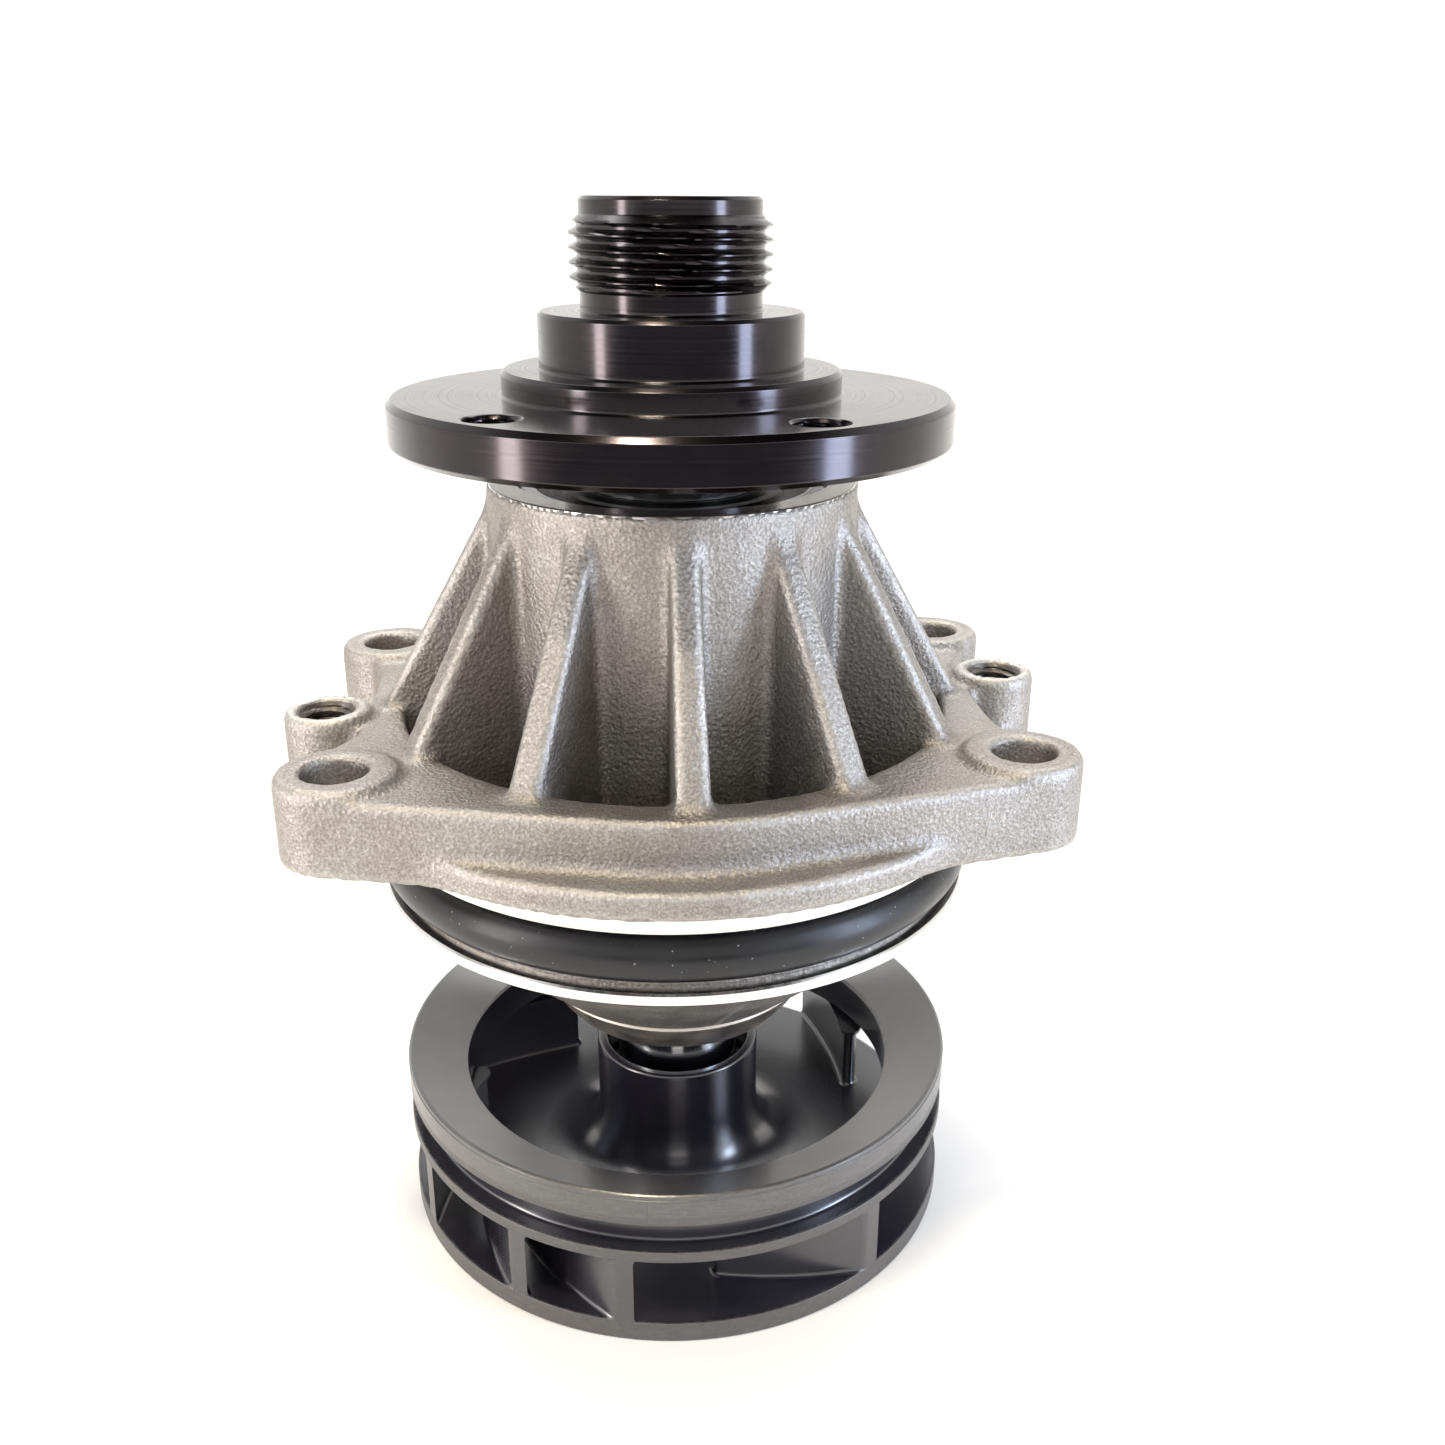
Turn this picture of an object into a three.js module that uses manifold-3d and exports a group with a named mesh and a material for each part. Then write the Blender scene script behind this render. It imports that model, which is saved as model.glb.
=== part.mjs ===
// Engine coolant pump with a threaded fan hub, a ribbed bearing housing and a closed impeller.
// Millimetres, +Z up the shaft. The origin is the centre of the impeller's base.
// Needs the npm packages three (0.186) and manifold-3d.
import * as THREE from "three";
import { mergeVertices } from "three/addons/utils/BufferGeometryUtils.js";
import Module from "manifold-3d";

const wasm = await Module();
wasm.setup();

// Driving dimensions ---------------------------------------------------------

const TURN = 2 * Math.PI;
const LARGE_FACETS = 40; // sides of the large turned and cast rounds
const SMALL_FACETS = 24; // sides of the seals, rings and cages
const HOLE_FACETS = 16;
const PRESS_GAP = 0.12; // kept between two pieces that are pressed together
const RUNNING_GAP = 0.1; // kept between a rolling piece and its track

const IMPELLER = {
  radius: 34.69,
  discTop: 2.53,
  vaneTop: 11.21,
  lipTop: 12.59,
  grooveTop: 16.27,
  ringTop: 20.18,
  eyeRadius: 27.2,
  eyeEdge: 17.2,
  hubRadius: 10.49,
  hubTop: 18.6,
  cupRadius: 9.2,
  cupFloor: 12.5,
  boreRadius: 8.7,
  flare: 7.7,
};
const VANES = 7;
const VANE_PHASE = 1.3; // degrees, of the first vane's tip
const EXTRA_VANE_ANGLE = -123.6; // degrees, of the tip of the vane between two of the seven

const SHAFT = { pumpRadius: 7, bearingRadius: 9.48, step: 52, bottom: 0.6, top: 107.9 };

const BEARING = {
  radius: 17.36,
  bottom: 53.1,
  top: 91.3,
  boreRadius: 14.6,
  ballPitch: 12.1,
  ballRadius: 2.72,
  ballHeight: 62,
  rollerPitch: 11.98,
  rollerRadius: 2.36,
  rollerLength: 9,
  rollerHeight: 80,
};
const BALLS = 8;
const ROLLERS = 10;

const HOUSING = {
  noseRadius: 21,
  noseTop: 91.95,
  towerRadius: 20.95,
  boreRadius: 17.5,
  boreFloor: 52.8,
  ventRadius: 14.5,
  sealBore: 15.6,
  sealFloor: 47,
  coneRadius: 17.2,
  coneEnd: 30.06,
  pilotRadius: 35.38,
  pilotBottom: 44.47,
  grooveRadius: 30.6,
  grooveBottom: 46.04,
  grooveTop: 52.87,
  face: 57,
  skirtRadius: 40.3,
  skirtTop: 59.9,
  plateRadius: 36.1,
  plateTop: 65.5,
  pocketRadius: 31.7,
};
const RIBS = 12;
const RIB = { thickness: 3, topRadius: 21.2, top: 89.2, footRadius: 34.4 };
const EAR = { x: 36.3, y: 22.1, radius: 6.8, top: 66.4, holeRadius: 3.5 };
const JACK = { x: 40.1, y: 3.9, radius: 5.2, top: 66.7, holeRadius: 2.5 };

const HUB = {
  top: 121.7,
  leadRadius: 9.83,
  threadRadius: 11,
  threadTop: 119.6,
  threadBottom: 112.1,
  neckRadius: 9.9,
  bossRadius: 14.56,
  bossTop: 110.1,
  collarRadius: 18.74,
  collarTop: 104.1,
  discRadius: 31.16,
  discTop: 101.4,
  discBottom: 96.2,
  footRadius: 12.2,
  foot: 92.6,
};
const HUB_HOLES = { pitch: 26.5, middle: -97.5, halfAngle: 36.85, radius: 2.5, mouth: 3.2 };

const O_RING = { middle: 33.25, height: 49.45, halfWidth: 2.55, halfHeight: 2.9 };

// Materials ------------------------------------------------------------------

function finish(color, metalness, roughness) {
  return new THREE.MeshStandardMaterial({ color, metalness, roughness });
}

const CAST_ALUMINIUM = finish(0xaaa49e, 0.85, 0.5);
const BLACK_STEEL = finish(0x2a272b, 0.8, 0.3);
const GROUND_STEEL = finish(0xb9bbbd, 1, 0.2);
const BEARING_STEEL = finish(0x9fa3a8, 1, 0.25);
const STAINLESS = finish(0xa39c94, 1, 0.3);
const SPRING_STEEL = finish(0x8f9194, 1, 0.3);
const BLACK_RUBBER = finish(0x17171a, 0, 0.55);
const CARBON = finish(0x2c2c2e, 0.1, 0.5);
const CERAMIC = finish(0x3a3d42, 0.1, 0.3);
const MOULDED_COMPOSITE = finish(0x24232b, 0, 0.35);
const CAGE_NYLON = finish(0x6e5f45, 0, 0.6);

// Solids ---------------------------------------------------------------------

// A closed geometry as a manifold-3d solid, with its faces pointing out.
function solid(geometry) {
  const bare = geometry.index ? geometry.toNonIndexed() : geometry.clone();
  bare.deleteAttribute("normal");
  bare.deleteAttribute("uv");
  const merged = mergeVertices(bare, 1e-4);
  const triVerts = wholeTriangles(merged.index.array);
  const vertProperties = new Float32Array(merged.attributes.position.array);
  const made = new wasm.Manifold(new wasm.Mesh({ numProp: 3, vertProperties, triVerts }));
  if (made.volume() > 0) return made;
  triVerts.reverse();
  return new wasm.Manifold(new wasm.Mesh({ numProp: 3, vertProperties, triVerts }));
}

// The triangles that still have three different corners after the merge.
function wholeTriangles(index) {
  const kept = [];
  for (let i = 0; i < index.length; i += 3) {
    const [a, b, c] = [index[i], index[i + 1], index[i + 2]];
    if (a !== b && b !== c && c !== a) kept.push(a, b, c);
  }
  return new Uint32Array(kept);
}

function geometryOf(manifold) {
  const mesh = manifold.getMesh();
  const positions = new Float32Array(mesh.numVert * 3);
  for (let i = 0; i < mesh.numVert; i++) {
    const start = i * mesh.numProp;
    positions.set(mesh.vertProperties.subarray(start, start + 3), i * 3);
  }
  const geometry = new THREE.BufferGeometry();
  geometry.setAttribute("position", new THREE.BufferAttribute(positions, 3));
  geometry.setIndex(new THREE.BufferAttribute(new Uint32Array(mesh.triVerts), 1));
  geometry.computeVertexNormals();
  return geometry;
}

// A solid turned round Z from [radius, height] corners; the outline is closed here.
function turned(corners, facets = LARGE_FACETS) {
  const outline = corners.map(([radius, height]) => new THREE.Vector2(radius, height));
  const [first] = corners;
  const last = corners[corners.length - 1];
  if (first[0] > 0 || last[0] > 0) outline.push(outline[0].clone());
  return solid(new THREE.LatheGeometry(outline, facets).rotateX(Math.PI / 2));
}

// A plate with the outline of a shape, between two heights.
function plate(shape, bottom, top, curveSegments = 8) {
  const depth = top - bottom;
  const geometry = new THREE.ExtrudeGeometry(shape, { depth, bevelEnabled: false, curveSegments });
  return solid(geometry.translate(0, 0, bottom));
}

function polygon(points) {
  return new THREE.Shape(points.map(([x, y]) => new THREE.Vector2(x, y)));
}

// Points of a circular arc from one angle to another, in degrees.
function arc(cx, cy, radius, from, to, steps) {
  return Array.from({ length: steps + 1 }, (_, i) => {
    const angle = THREE.MathUtils.degToRad(from + ((to - from) * i) / steps);
    return [cx + radius * Math.cos(angle), cy + radius * Math.sin(angle)];
  });
}

// Turns a solid round Z by an angle in degrees.
function spun(manifold, degrees) {
  return manifold.rotate([0, 0, degrees]);
}

// Joins several solids.
function joined(...manifolds) {
  return manifolds.reduce((whole, next) => whole.add(next));
}

function mesh(name, manifold, material) {
  const made = new THREE.Mesh(geometryOf(manifold), material);
  made.name = name;
  return made;
}

// Housing --------------------------------------------------------------------

// The body of revolution: seal cone, pilot with its ring groove, skirt, plate ring,
// cast pocket, tower and nose, bored for the shaft seal and the bearing.
function housingRound() {
  const h = HOUSING;
  return turned([
    [h.sealBore, h.coneEnd],
    [h.coneRadius, h.coneEnd],
    [33.4, h.pilotBottom],
    [h.pilotRadius - 0.3, h.pilotBottom],
    [h.pilotRadius, h.pilotBottom + 0.3],
    [h.pilotRadius, h.grooveBottom - 0.4],
    [h.pilotRadius - 0.4, h.grooveBottom],
    [h.grooveRadius, h.grooveBottom],
    [h.grooveRadius, h.grooveTop],
    [h.pilotRadius, h.grooveTop],
    [h.pilotRadius, h.face],
    [h.skirtRadius, h.face],
    [h.skirtRadius, h.skirtTop - 0.3],
    [h.skirtRadius - 0.3, h.skirtTop],
    [h.plateRadius, h.skirtTop],
    [h.plateRadius, h.plateTop - 0.6],
    [h.plateRadius - 0.6, h.plateTop],
    [h.pocketRadius, h.plateTop],
    [h.pocketRadius, 57.4],
    [h.pocketRadius - 0.9, 56.5],
    [28, 55.5],
    [26.8, 47],
    [22.6, 45.6],
    [h.towerRadius, 46.6],
    [h.towerRadius, h.noseTop - 1.5],
    [h.noseRadius, h.noseTop - 1.3],
    [h.noseRadius, h.noseTop - 0.2],
    [h.noseRadius - 0.2, h.noseTop],
    [h.boreRadius + 0.4, h.noseTop],
    [h.boreRadius, h.noseTop - 0.4],
    [h.boreRadius, h.boreFloor],
    [h.ventRadius, h.boreFloor],
    [h.ventRadius, h.sealFloor],
    [h.sealBore, h.sealFloor],
  ]);
}

// One cast gusset from the tower down to the plate ring, with its outer edges broken.
function rib() {
  const outline = polygon([
    [RIB.topRadius - 1.2, 50],
    [28.2, 50],
    [HOUSING.pocketRadius + 0.6, 56],
    [HOUSING.pocketRadius + 0.6, HOUSING.plateTop - 0.4],
    [RIB.footRadius, HOUSING.plateTop - 0.4],
    [RIB.topRadius, RIB.top],
    [RIB.topRadius - 1.2, RIB.top],
  ]);
  const edge = RIB.thickness / 2;
  const depth = RIB.thickness - 1.4;
  const bevel = { bevelThickness: 0.7, bevelSize: 0.7, bevelOffset: -0.7, bevelSegments: 1 };
  const geometry = new THREE.ExtrudeGeometry(outline, { depth, ...bevel });
  geometry.translate(0, 0, 0.7 - edge);
  return solid(geometry.rotateX(Math.PI / 2));
}

// The corner of the plate that carries an ear: straight flanks from the plate's round to
// the ear's round, touching both.
function earWeb() {
  const reach = Math.hypot(EAR.x, EAR.y);
  const towards = THREE.MathUtils.radToDeg(Math.atan2(EAR.y, EAR.x));
  const lean = THREE.MathUtils.radToDeg(Math.acos((HOUSING.plateRadius - EAR.radius) / reach));
  const outer = towards + lean;
  const inner = towards - lean;
  const [plateOuter] = arc(0, 0, HOUSING.plateRadius, outer, outer, 1);
  const [earOuter] = arc(EAR.x, EAR.y, EAR.radius, outer, outer, 1);
  const [earInner] = arc(EAR.x, EAR.y, EAR.radius, inner - 16, inner - 16, 1);
  const [plateInner] = arc(0, 0, HOUSING.pocketRadius + 1.5, towards - 22, towards - 22, 1);
  const [root] = arc(0, 0, HOUSING.pocketRadius + 1.2, towards, towards, 1);
  const shape = polygon([plateOuter, earOuter, earInner, plateInner, root]);
  return plate(shape, HOUSING.face, HOUSING.plateTop);
}

function ear() {
  const corners = [
    [0, HOUSING.face],
    [EAR.radius - 0.2, HOUSING.face],
    [EAR.radius, HOUSING.face + 0.2],
    [EAR.radius, HOUSING.plateTop - 0.2],
    [EAR.radius - 0.9, EAR.top],
    [0, EAR.top],
  ];
  return turned(corners, HOLE_FACETS).translate([EAR.x, EAR.y, 0]);
}

function earHole() {
  const corners = [
    [0, HOUSING.face - 1],
    [EAR.holeRadius, HOUSING.face - 1],
    [EAR.holeRadius, EAR.top - 0.35],
    [EAR.holeRadius + 0.4, EAR.top + 0.05],
    [EAR.holeRadius + 0.4, EAR.top + 1],
    [0, EAR.top + 1],
  ];
  return turned(corners, HOLE_FACETS).translate([EAR.x, EAR.y, 0]);
}

// A tapped boss for a jacking screw, with the low web that ties it to the nearest rib.
function jackBoss() {
  const corners = [
    [0, HOUSING.face],
    [JACK.radius, HOUSING.face],
    [JACK.radius, JACK.top - 0.6],
    [JACK.radius - 0.6, JACK.top],
    [0, JACK.top],
  ];
  const boss = turned(corners, HOLE_FACETS).translate([JACK.x, JACK.y, 0]);
  const web = polygon([
    [33.2, -3],
    [40, -0.6],
    [40, 7.6],
    [33.2, 3.4],
  ]);
  return boss.add(plate(web, HOUSING.face, JACK.top - 0.7));
}

function jackHole() {
  const corners = [
    [0, HOUSING.face - 1],
    [JACK.holeRadius, HOUSING.face - 1],
    [JACK.holeRadius, JACK.top - 0.8],
    [JACK.holeRadius + 0.7, JACK.top - 0.1],
    [JACK.holeRadius + 0.7, JACK.top + 1],
    [0, JACK.top + 1],
  ];
  return turned(corners, HOLE_FACETS).translate([JACK.x, JACK.y, 0]);
}

// The strip of plate outside the ring that joins two ears and the boss between them.
function sideStrip() {
  const outline = polygon([
    [32.6, -19],
    [40.2, -16.6],
    [37.4, -11],
    [37, -4],
    [37, 10],
    [37.8, 13],
    [40.6, 16.8],
    [32.6, 19],
    [34.4, 10],
    [34.4, -10],
  ]);
  return plate(outline, HOUSING.face, HOUSING.plateTop);
}

// Half of the ear corners are mirror images, because the plate is the same turned half round.
function mirrored(manifold) {
  return manifold.scale([1, -1, 1]);
}

// The casting, drilled and bored. Whatever stands at one side stands at the other too.
function housing() {
  const corner = [earWeb(), ear()];
  const side = [...corner, ...corner.map(mirrored), jackBoss(), sideStrip()];
  const otherSide = side.map((piece) => spun(piece, 180));
  const ribs = Array.from({ length: RIBS }, (_, i) => spun(rib(), (360 / RIBS) * i));
  const body = joined(housingRound(), ...side, ...otherSide, ...ribs);
  const holes = [earHole(), mirrored(earHole()), jackHole()];
  const drilled = holes.reduce((left, hole) => left.subtract(hole).subtract(spun(hole, 180)), body);
  const bore = turned([
    [0, HOUSING.sealFloor - 2],
    [HOUSING.ventRadius, HOUSING.sealFloor - 2],
    [HOUSING.ventRadius, HOUSING.noseTop + 1],
    [0, HOUSING.noseTop + 1],
  ]);
  return drilled.subtract(bore);
}

function pilotRing() {
  const { middle, height, halfWidth, halfHeight } = O_RING;
  const section = arc(0, 0, 1, 0, 360, 8).slice(0, -1);
  return turned(section.map(([x, z]) => [middle + halfWidth * x, height + halfHeight * z]));
}

// Bearing --------------------------------------------------------------------

function bearingOuterRing() {
  const b = BEARING;
  const track = b.ballPitch + b.ballRadius + RUNNING_GAP;
  return turned(
    [
      [b.radius - 0.5, b.bottom],
      [b.radius, b.bottom + 0.5],
      [b.radius, b.top - 0.5],
      [b.radius - 0.5, b.top],
      [15.5, b.top],
      [15.5, b.top - 3.4],
      [b.boreRadius, b.top - 3.6],
      [b.boreRadius, b.ballHeight + 2],
      [track - 0.06, b.ballHeight + 1],
      [track + 0.06, b.ballHeight],
      [track - 0.06, b.ballHeight - 1],
      [b.boreRadius, b.ballHeight - 2],
      [b.boreRadius, b.bottom + 3.6],
      [15.5, b.bottom + 3.4],
      [15.5, b.bottom],
    ],
    LARGE_FACETS,
  );
}

// A lip seal: a stiff disc that snaps into the ring, with a lip that runs on the shaft.
function bearingSeal(outside, inside) {
  const rim = 15.5 - PRESS_GAP;
  const lip = SHAFT.bearingRadius + RUNNING_GAP;
  const half = (outside + inside) / 2;
  return turned(
    [
      [rim, inside],
      [rim, outside],
      [11.4, outside],
      [lip, outside + (outside - inside) * 0.2],
      [lip, half],
      [11, inside],
    ],
    SMALL_FACETS,
  );
}

function ball(index) {
  const geometry = new THREE.SphereGeometry(BEARING.ballRadius, 10, 7);
  const angle = (TURN * index) / BALLS;
  const x = BEARING.ballPitch * Math.cos(angle);
  const y = BEARING.ballPitch * Math.sin(angle);
  return solid(geometry.rotateX(Math.PI / 2)).translate([x, y, BEARING.ballHeight]);
}

function ballCage() {
  const ring = turned(
    [
      [11.3, BEARING.ballHeight - 3.7],
      [13.1, BEARING.ballHeight - 3.7],
      [13.1, BEARING.ballHeight + 3.7],
      [11.3, BEARING.ballHeight + 3.7],
    ],
    SMALL_FACETS,
  );
  const pocket = new THREE.CylinderGeometry(2.95, 2.95, 8, 12).rotateZ(Math.PI / 2);
  const cutter = solid(pocket).translate([BEARING.ballPitch, 0, BEARING.ballHeight]);
  let cage = ring;
  for (let i = 0; i < BALLS; i++) cage = cage.subtract(spun(cutter, (360 / BALLS) * i));
  return cage;
}

function roller(index) {
  const { rollerRadius, rollerLength, rollerPitch, rollerHeight } = BEARING;
  const half = rollerLength / 2;
  const barrel = turned(
    [
      [0, -half],
      [rollerRadius - 0.3, -half],
      [rollerRadius, 0.3 - half],
      [rollerRadius, half - 0.3],
      [rollerRadius - 0.3, half],
      [0, half],
    ],
    16,
  );
  const angle = (TURN * index) / ROLLERS;
  const place = [rollerPitch * Math.cos(angle), rollerPitch * Math.sin(angle), rollerHeight];
  return barrel.translate(place);
}

function rollerCage() {
  const halfHeight = BEARING.rollerLength / 2 + 1.5;
  const ring = turned(
    [
      [11.2, BEARING.rollerHeight - halfHeight],
      [12.9, BEARING.rollerHeight - halfHeight],
      [12.9, BEARING.rollerHeight + halfHeight],
      [11.2, BEARING.rollerHeight + halfHeight],
    ],
    SMALL_FACETS,
  );
  const width = 2 * BEARING.rollerRadius + 0.3;
  const height = BEARING.rollerLength + 0.3;
  const window = solid(new THREE.BoxGeometry(6, width, height));
  const cutter = window.translate([BEARING.rollerPitch, 0, BEARING.rollerHeight]);
  let cage = ring;
  for (let i = 0; i < ROLLERS; i++) cage = cage.subtract(spun(cutter, (360 / ROLLERS) * i));
  return cage;
}

function bearingShaft() {
  const { pumpRadius, bearingRadius, step, bottom, top } = SHAFT;
  const track = BEARING.ballPitch - BEARING.ballRadius - RUNNING_GAP;
  return turned(
    [
      [0, bottom],
      [pumpRadius - 0.6, bottom],
      [pumpRadius, bottom + 0.6],
      [pumpRadius, step - 0.8],
      [bearingRadius - 0.4, step],
      [bearingRadius, step + 0.4],
      [bearingRadius, BEARING.ballHeight - 1.4],
      [track, BEARING.ballHeight - 0.6],
      [track, BEARING.ballHeight + 0.6],
      [bearingRadius, BEARING.ballHeight + 1.4],
      [bearingRadius, top - 0.6],
      [bearingRadius - 0.6, top],
      [0, top],
    ],
    SMALL_FACETS,
  );
}

// Shaft seal -----------------------------------------------------------------

// The pressed steel shell: a flange against the housing's cone end and a dome below it.
function sealCase() {
  const bore = HOUSING.sealBore - PRESS_GAP;
  const flange = HOUSING.coneEnd - 0.25;
  return turned(
    [
      [10.4, 46.6],
      [bore, 46.6],
      [bore, flange],
      [16.6, flange],
      [16.7, flange - 0.5],
      [15.7, 27.6],
      [14, 25.5],
      [11.9, 24.1],
      [11.3, 24.1],
      [11.3, 24.9],
      [13.4, 26.3],
      [14.6, 28],
      [14.7, 30.6],
      [14.7, 45.8],
      [10.4, 45.8],
    ],
    SMALL_FACETS,
  );
}

function sealBellows() {
  return turned(
    [
      [9.3, 45.5],
      [9.3, 35.6],
      [8.9, 34.4],
      [11.7, 34.4],
      [11.7, 32],
      [12.9, 32],
      [12.9, 35.2],
      [10.6, 36.6],
      [10.6, 44],
      [14.4, 44],
      [14.4, 45.5],
    ],
    SMALL_FACETS,
  );
}

class Helix extends THREE.Curve {
  constructor(radius, bottom, top, turns) {
    super();
    Object.assign(this, { radius, bottom, top, turns });
  }

  getPoint(t, target = new THREE.Vector3()) {
    const angle = TURN * this.turns * t;
    const height = this.bottom + (this.top - this.bottom) * t;
    return target.set(this.radius * Math.cos(angle), this.radius * Math.sin(angle), height);
  }
}

function sealSpring() {
  const wire = polygon(arc(0, 0, 0.55, 0, 360, 6).slice(0, -1));
  const path = new Helix(12.6, 38.3, 43.2, 3);
  return solid(new THREE.ExtrudeGeometry(wire, { steps: 45, extrudePath: path }));
}

function sealSpringWasher() {
  return turned(
    [
      [10.9, 36.9],
      [13.6, 36.9],
      [13.6, 37.5],
      [10.9, 37.5],
    ],
    SMALL_FACETS,
  );
}

function sealCarbonRing() {
  return turned(
    [
      [8.5, 30.7],
      [10.3, 30.7],
      [10.3, 31.6],
      [11.5, 31.6],
      [11.5, 34.2],
      [8.5, 34.2],
    ],
    SMALL_FACETS,
  );
}

function sealSeatRing() {
  return turned(
    [
      [8.6, 27.4],
      [10.9, 27.4],
      [10.9, 30.4],
      [8.6, 30.4],
    ],
    SMALL_FACETS,
  );
}

function sealSeatCup() {
  return turned(
    [
      [7.9, 25.9],
      [11.3, 25.9],
      [11.3, 29.8],
      [11.05, 29.8],
      [11.05, 27.2],
      [8.45, 27.2],
      [8.45, 30],
      [7.9, 30],
    ],
    SMALL_FACETS,
  );
}

function sealSleeve() {
  const inner = SHAFT.pumpRadius + PRESS_GAP;
  return turned(
    [
      [inner, 12.9],
      [8.8, 12.9],
      [8.8, 13.7],
      [7.75, 13.9],
      [7.75, 31],
      [inner, 31],
    ],
    SMALL_FACETS,
  );
}

// Impeller -------------------------------------------------------------------

// The back disc and its hub, which flares from the disc and ends in a cup round the sleeve.
function impellerDisc() {
  const i = IMPELLER;
  const flare = arc(i.hubRadius + i.flare, i.discTop + i.flare, i.flare, 270, 180, 6);
  return turned([
    [i.boreRadius, 0.3],
    [12, 0.3],
    [12.6, 0.9],
    [30.8, 0.9],
    [31.5, 0],
    [i.radius - 0.3, 0],
    [i.radius, 0.3],
    [i.radius, i.discTop],
    ...flare,
    [i.hubRadius, i.hubTop - 0.5],
    [i.hubRadius - 0.5, i.hubTop],
    [i.cupRadius + 0.3, i.hubTop],
    [i.cupRadius, i.hubTop - 0.4],
    [i.cupRadius, i.cupFloor],
    [i.boreRadius, i.cupFloor],
  ]);
}

// The front ring: a lip over the vanes, a groove, and a dished ring round the eye.
function impellerShroud() {
  const i = IMPELLER;
  const grooveRadius = i.radius - 2.1;
  return turned([
    [i.eyeRadius + 1.2, i.vaneTop],
    [i.radius, i.vaneTop],
    [i.radius, i.lipTop],
    [grooveRadius, i.lipTop],
    [grooveRadius, i.grooveTop],
    [i.radius, i.grooveTop],
    [i.radius, i.ringTop - 0.25],
    [i.radius - 0.25, i.ringTop],
    [i.eyeRadius + 0.3, i.eyeEdge + 0.05],
    [i.eyeRadius, i.eyeEdge - 0.4],
    [i.eyeRadius, i.vaneTop + 1.4],
  ]);
}

// A backward-swept vane whose tip lies on the +X side of the rim. Its outer flank leaves the
// rim a little behind the sharp tip edge and bows outwards to the leading edge.
function vane() {
  const [flankStart] = arc(0, 0, IMPELLER.radius - 0.02, -3.5, -3.5, 1);
  const [flankEnd] = arc(0, 0, 27.6, -33.5, -33.5, 1);
  const tip = [IMPELLER.radius - 0.02, 0];
  const inner = [21.4, -13.8];
  const shape = new THREE.Shape();
  shape.moveTo(...tip);
  shape.quadraticCurveTo(28.9, -7.6, ...inner);
  shape.quadraticCurveTo(20.6, -14.9, 22.1, -15.4);
  shape.lineTo(...flankEnd);
  shape.quadraticCurveTo(29.6, -9.4, ...flankStart);
  return plate(shape, IMPELLER.discTop - 0.6, IMPELLER.vaneTop + 0.6, 5);
}

function impeller() {
  const angles = Array.from({ length: VANES }, (_, i) => VANE_PHASE + (360 / VANES) * i);
  angles.push(EXTRA_VANE_ANGLE);
  const vanes = angles.map((angle) => spun(vane(), angle));
  return joined(impellerDisc(), impellerShroud(), ...vanes);
}

function impellerInsert() {
  const outer = IMPELLER.boreRadius - PRESS_GAP;
  const inner = SHAFT.pumpRadius + PRESS_GAP;
  return turned(
    [
      [inner, 0.5],
      [outer, 0.5],
      [outer, 12.4],
      [inner, 12.4],
    ],
    SMALL_FACETS,
  );
}

// Hub ------------------------------------------------------------------------

function hubBlank() {
  const h = HUB;
  const bore = SHAFT.bearingRadius + PRESS_GAP;
  return turned([
    [0, SHAFT.top + 0.3],
    [bore, SHAFT.top + 0.3],
    [bore, h.foot],
    [h.footRadius - 0.4, h.foot],
    [h.footRadius, h.foot + 0.4],
    [h.footRadius, h.discBottom],
    [h.discRadius - 0.6, h.discBottom],
    [h.discRadius, h.discBottom + 0.6],
    [h.discRadius, h.discTop - 0.6],
    [h.discRadius - 0.6, h.discTop],
    [h.collarRadius, h.discTop],
    [h.collarRadius, h.collarTop - 0.5],
    [h.collarRadius - 0.5, h.collarTop],
    [h.bossRadius, h.collarTop],
    [h.bossRadius, h.bossTop - 0.5],
    [h.bossRadius - 0.5, h.bossTop],
    [h.neckRadius, h.bossTop],
    [h.neckRadius, h.threadBottom],
    [h.threadRadius, h.threadBottom + 0.6],
    [h.threadRadius, h.threadTop - 0.6],
    [h.leadRadius, h.threadTop + 0.4],
    [h.leadRadius, h.top - 0.5],
    [h.leadRadius - 0.5, h.top],
    [3.4, h.top],
    [1.6, h.top - 1.8],
    [1.6, h.top - 8],
    [0, h.top - 8.9],
  ]);
}

function hubHole() {
  const { radius, mouth, pitch } = HUB_HOLES;
  const lead = mouth - radius;
  const corners = [
    [0, HUB.discBottom - 1],
    [mouth, HUB.discBottom - 1],
    [mouth, HUB.discBottom],
    [radius, HUB.discBottom + lead],
    [radius, HUB.discTop - lead],
    [mouth, HUB.discTop],
    [mouth, HUB.discTop + 1],
    [0, HUB.discTop + 1],
  ];
  return turned(corners, HOLE_FACETS).translate([pitch, 0, 0]);
}

// Two close pairs of tapped holes, so that the pulley fits in one way and its half turn.
function pulleyHub() {
  const { middle, halfAngle } = HUB_HOLES;
  const angles = [middle - halfAngle, middle + halfAngle];
  const all = [...angles, ...angles.map((angle) => angle + 180)];
  return all.reduce((left, angle) => left.subtract(spun(hubHole(), angle)), hubBlank());
}

// Assembly -------------------------------------------------------------------

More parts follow.
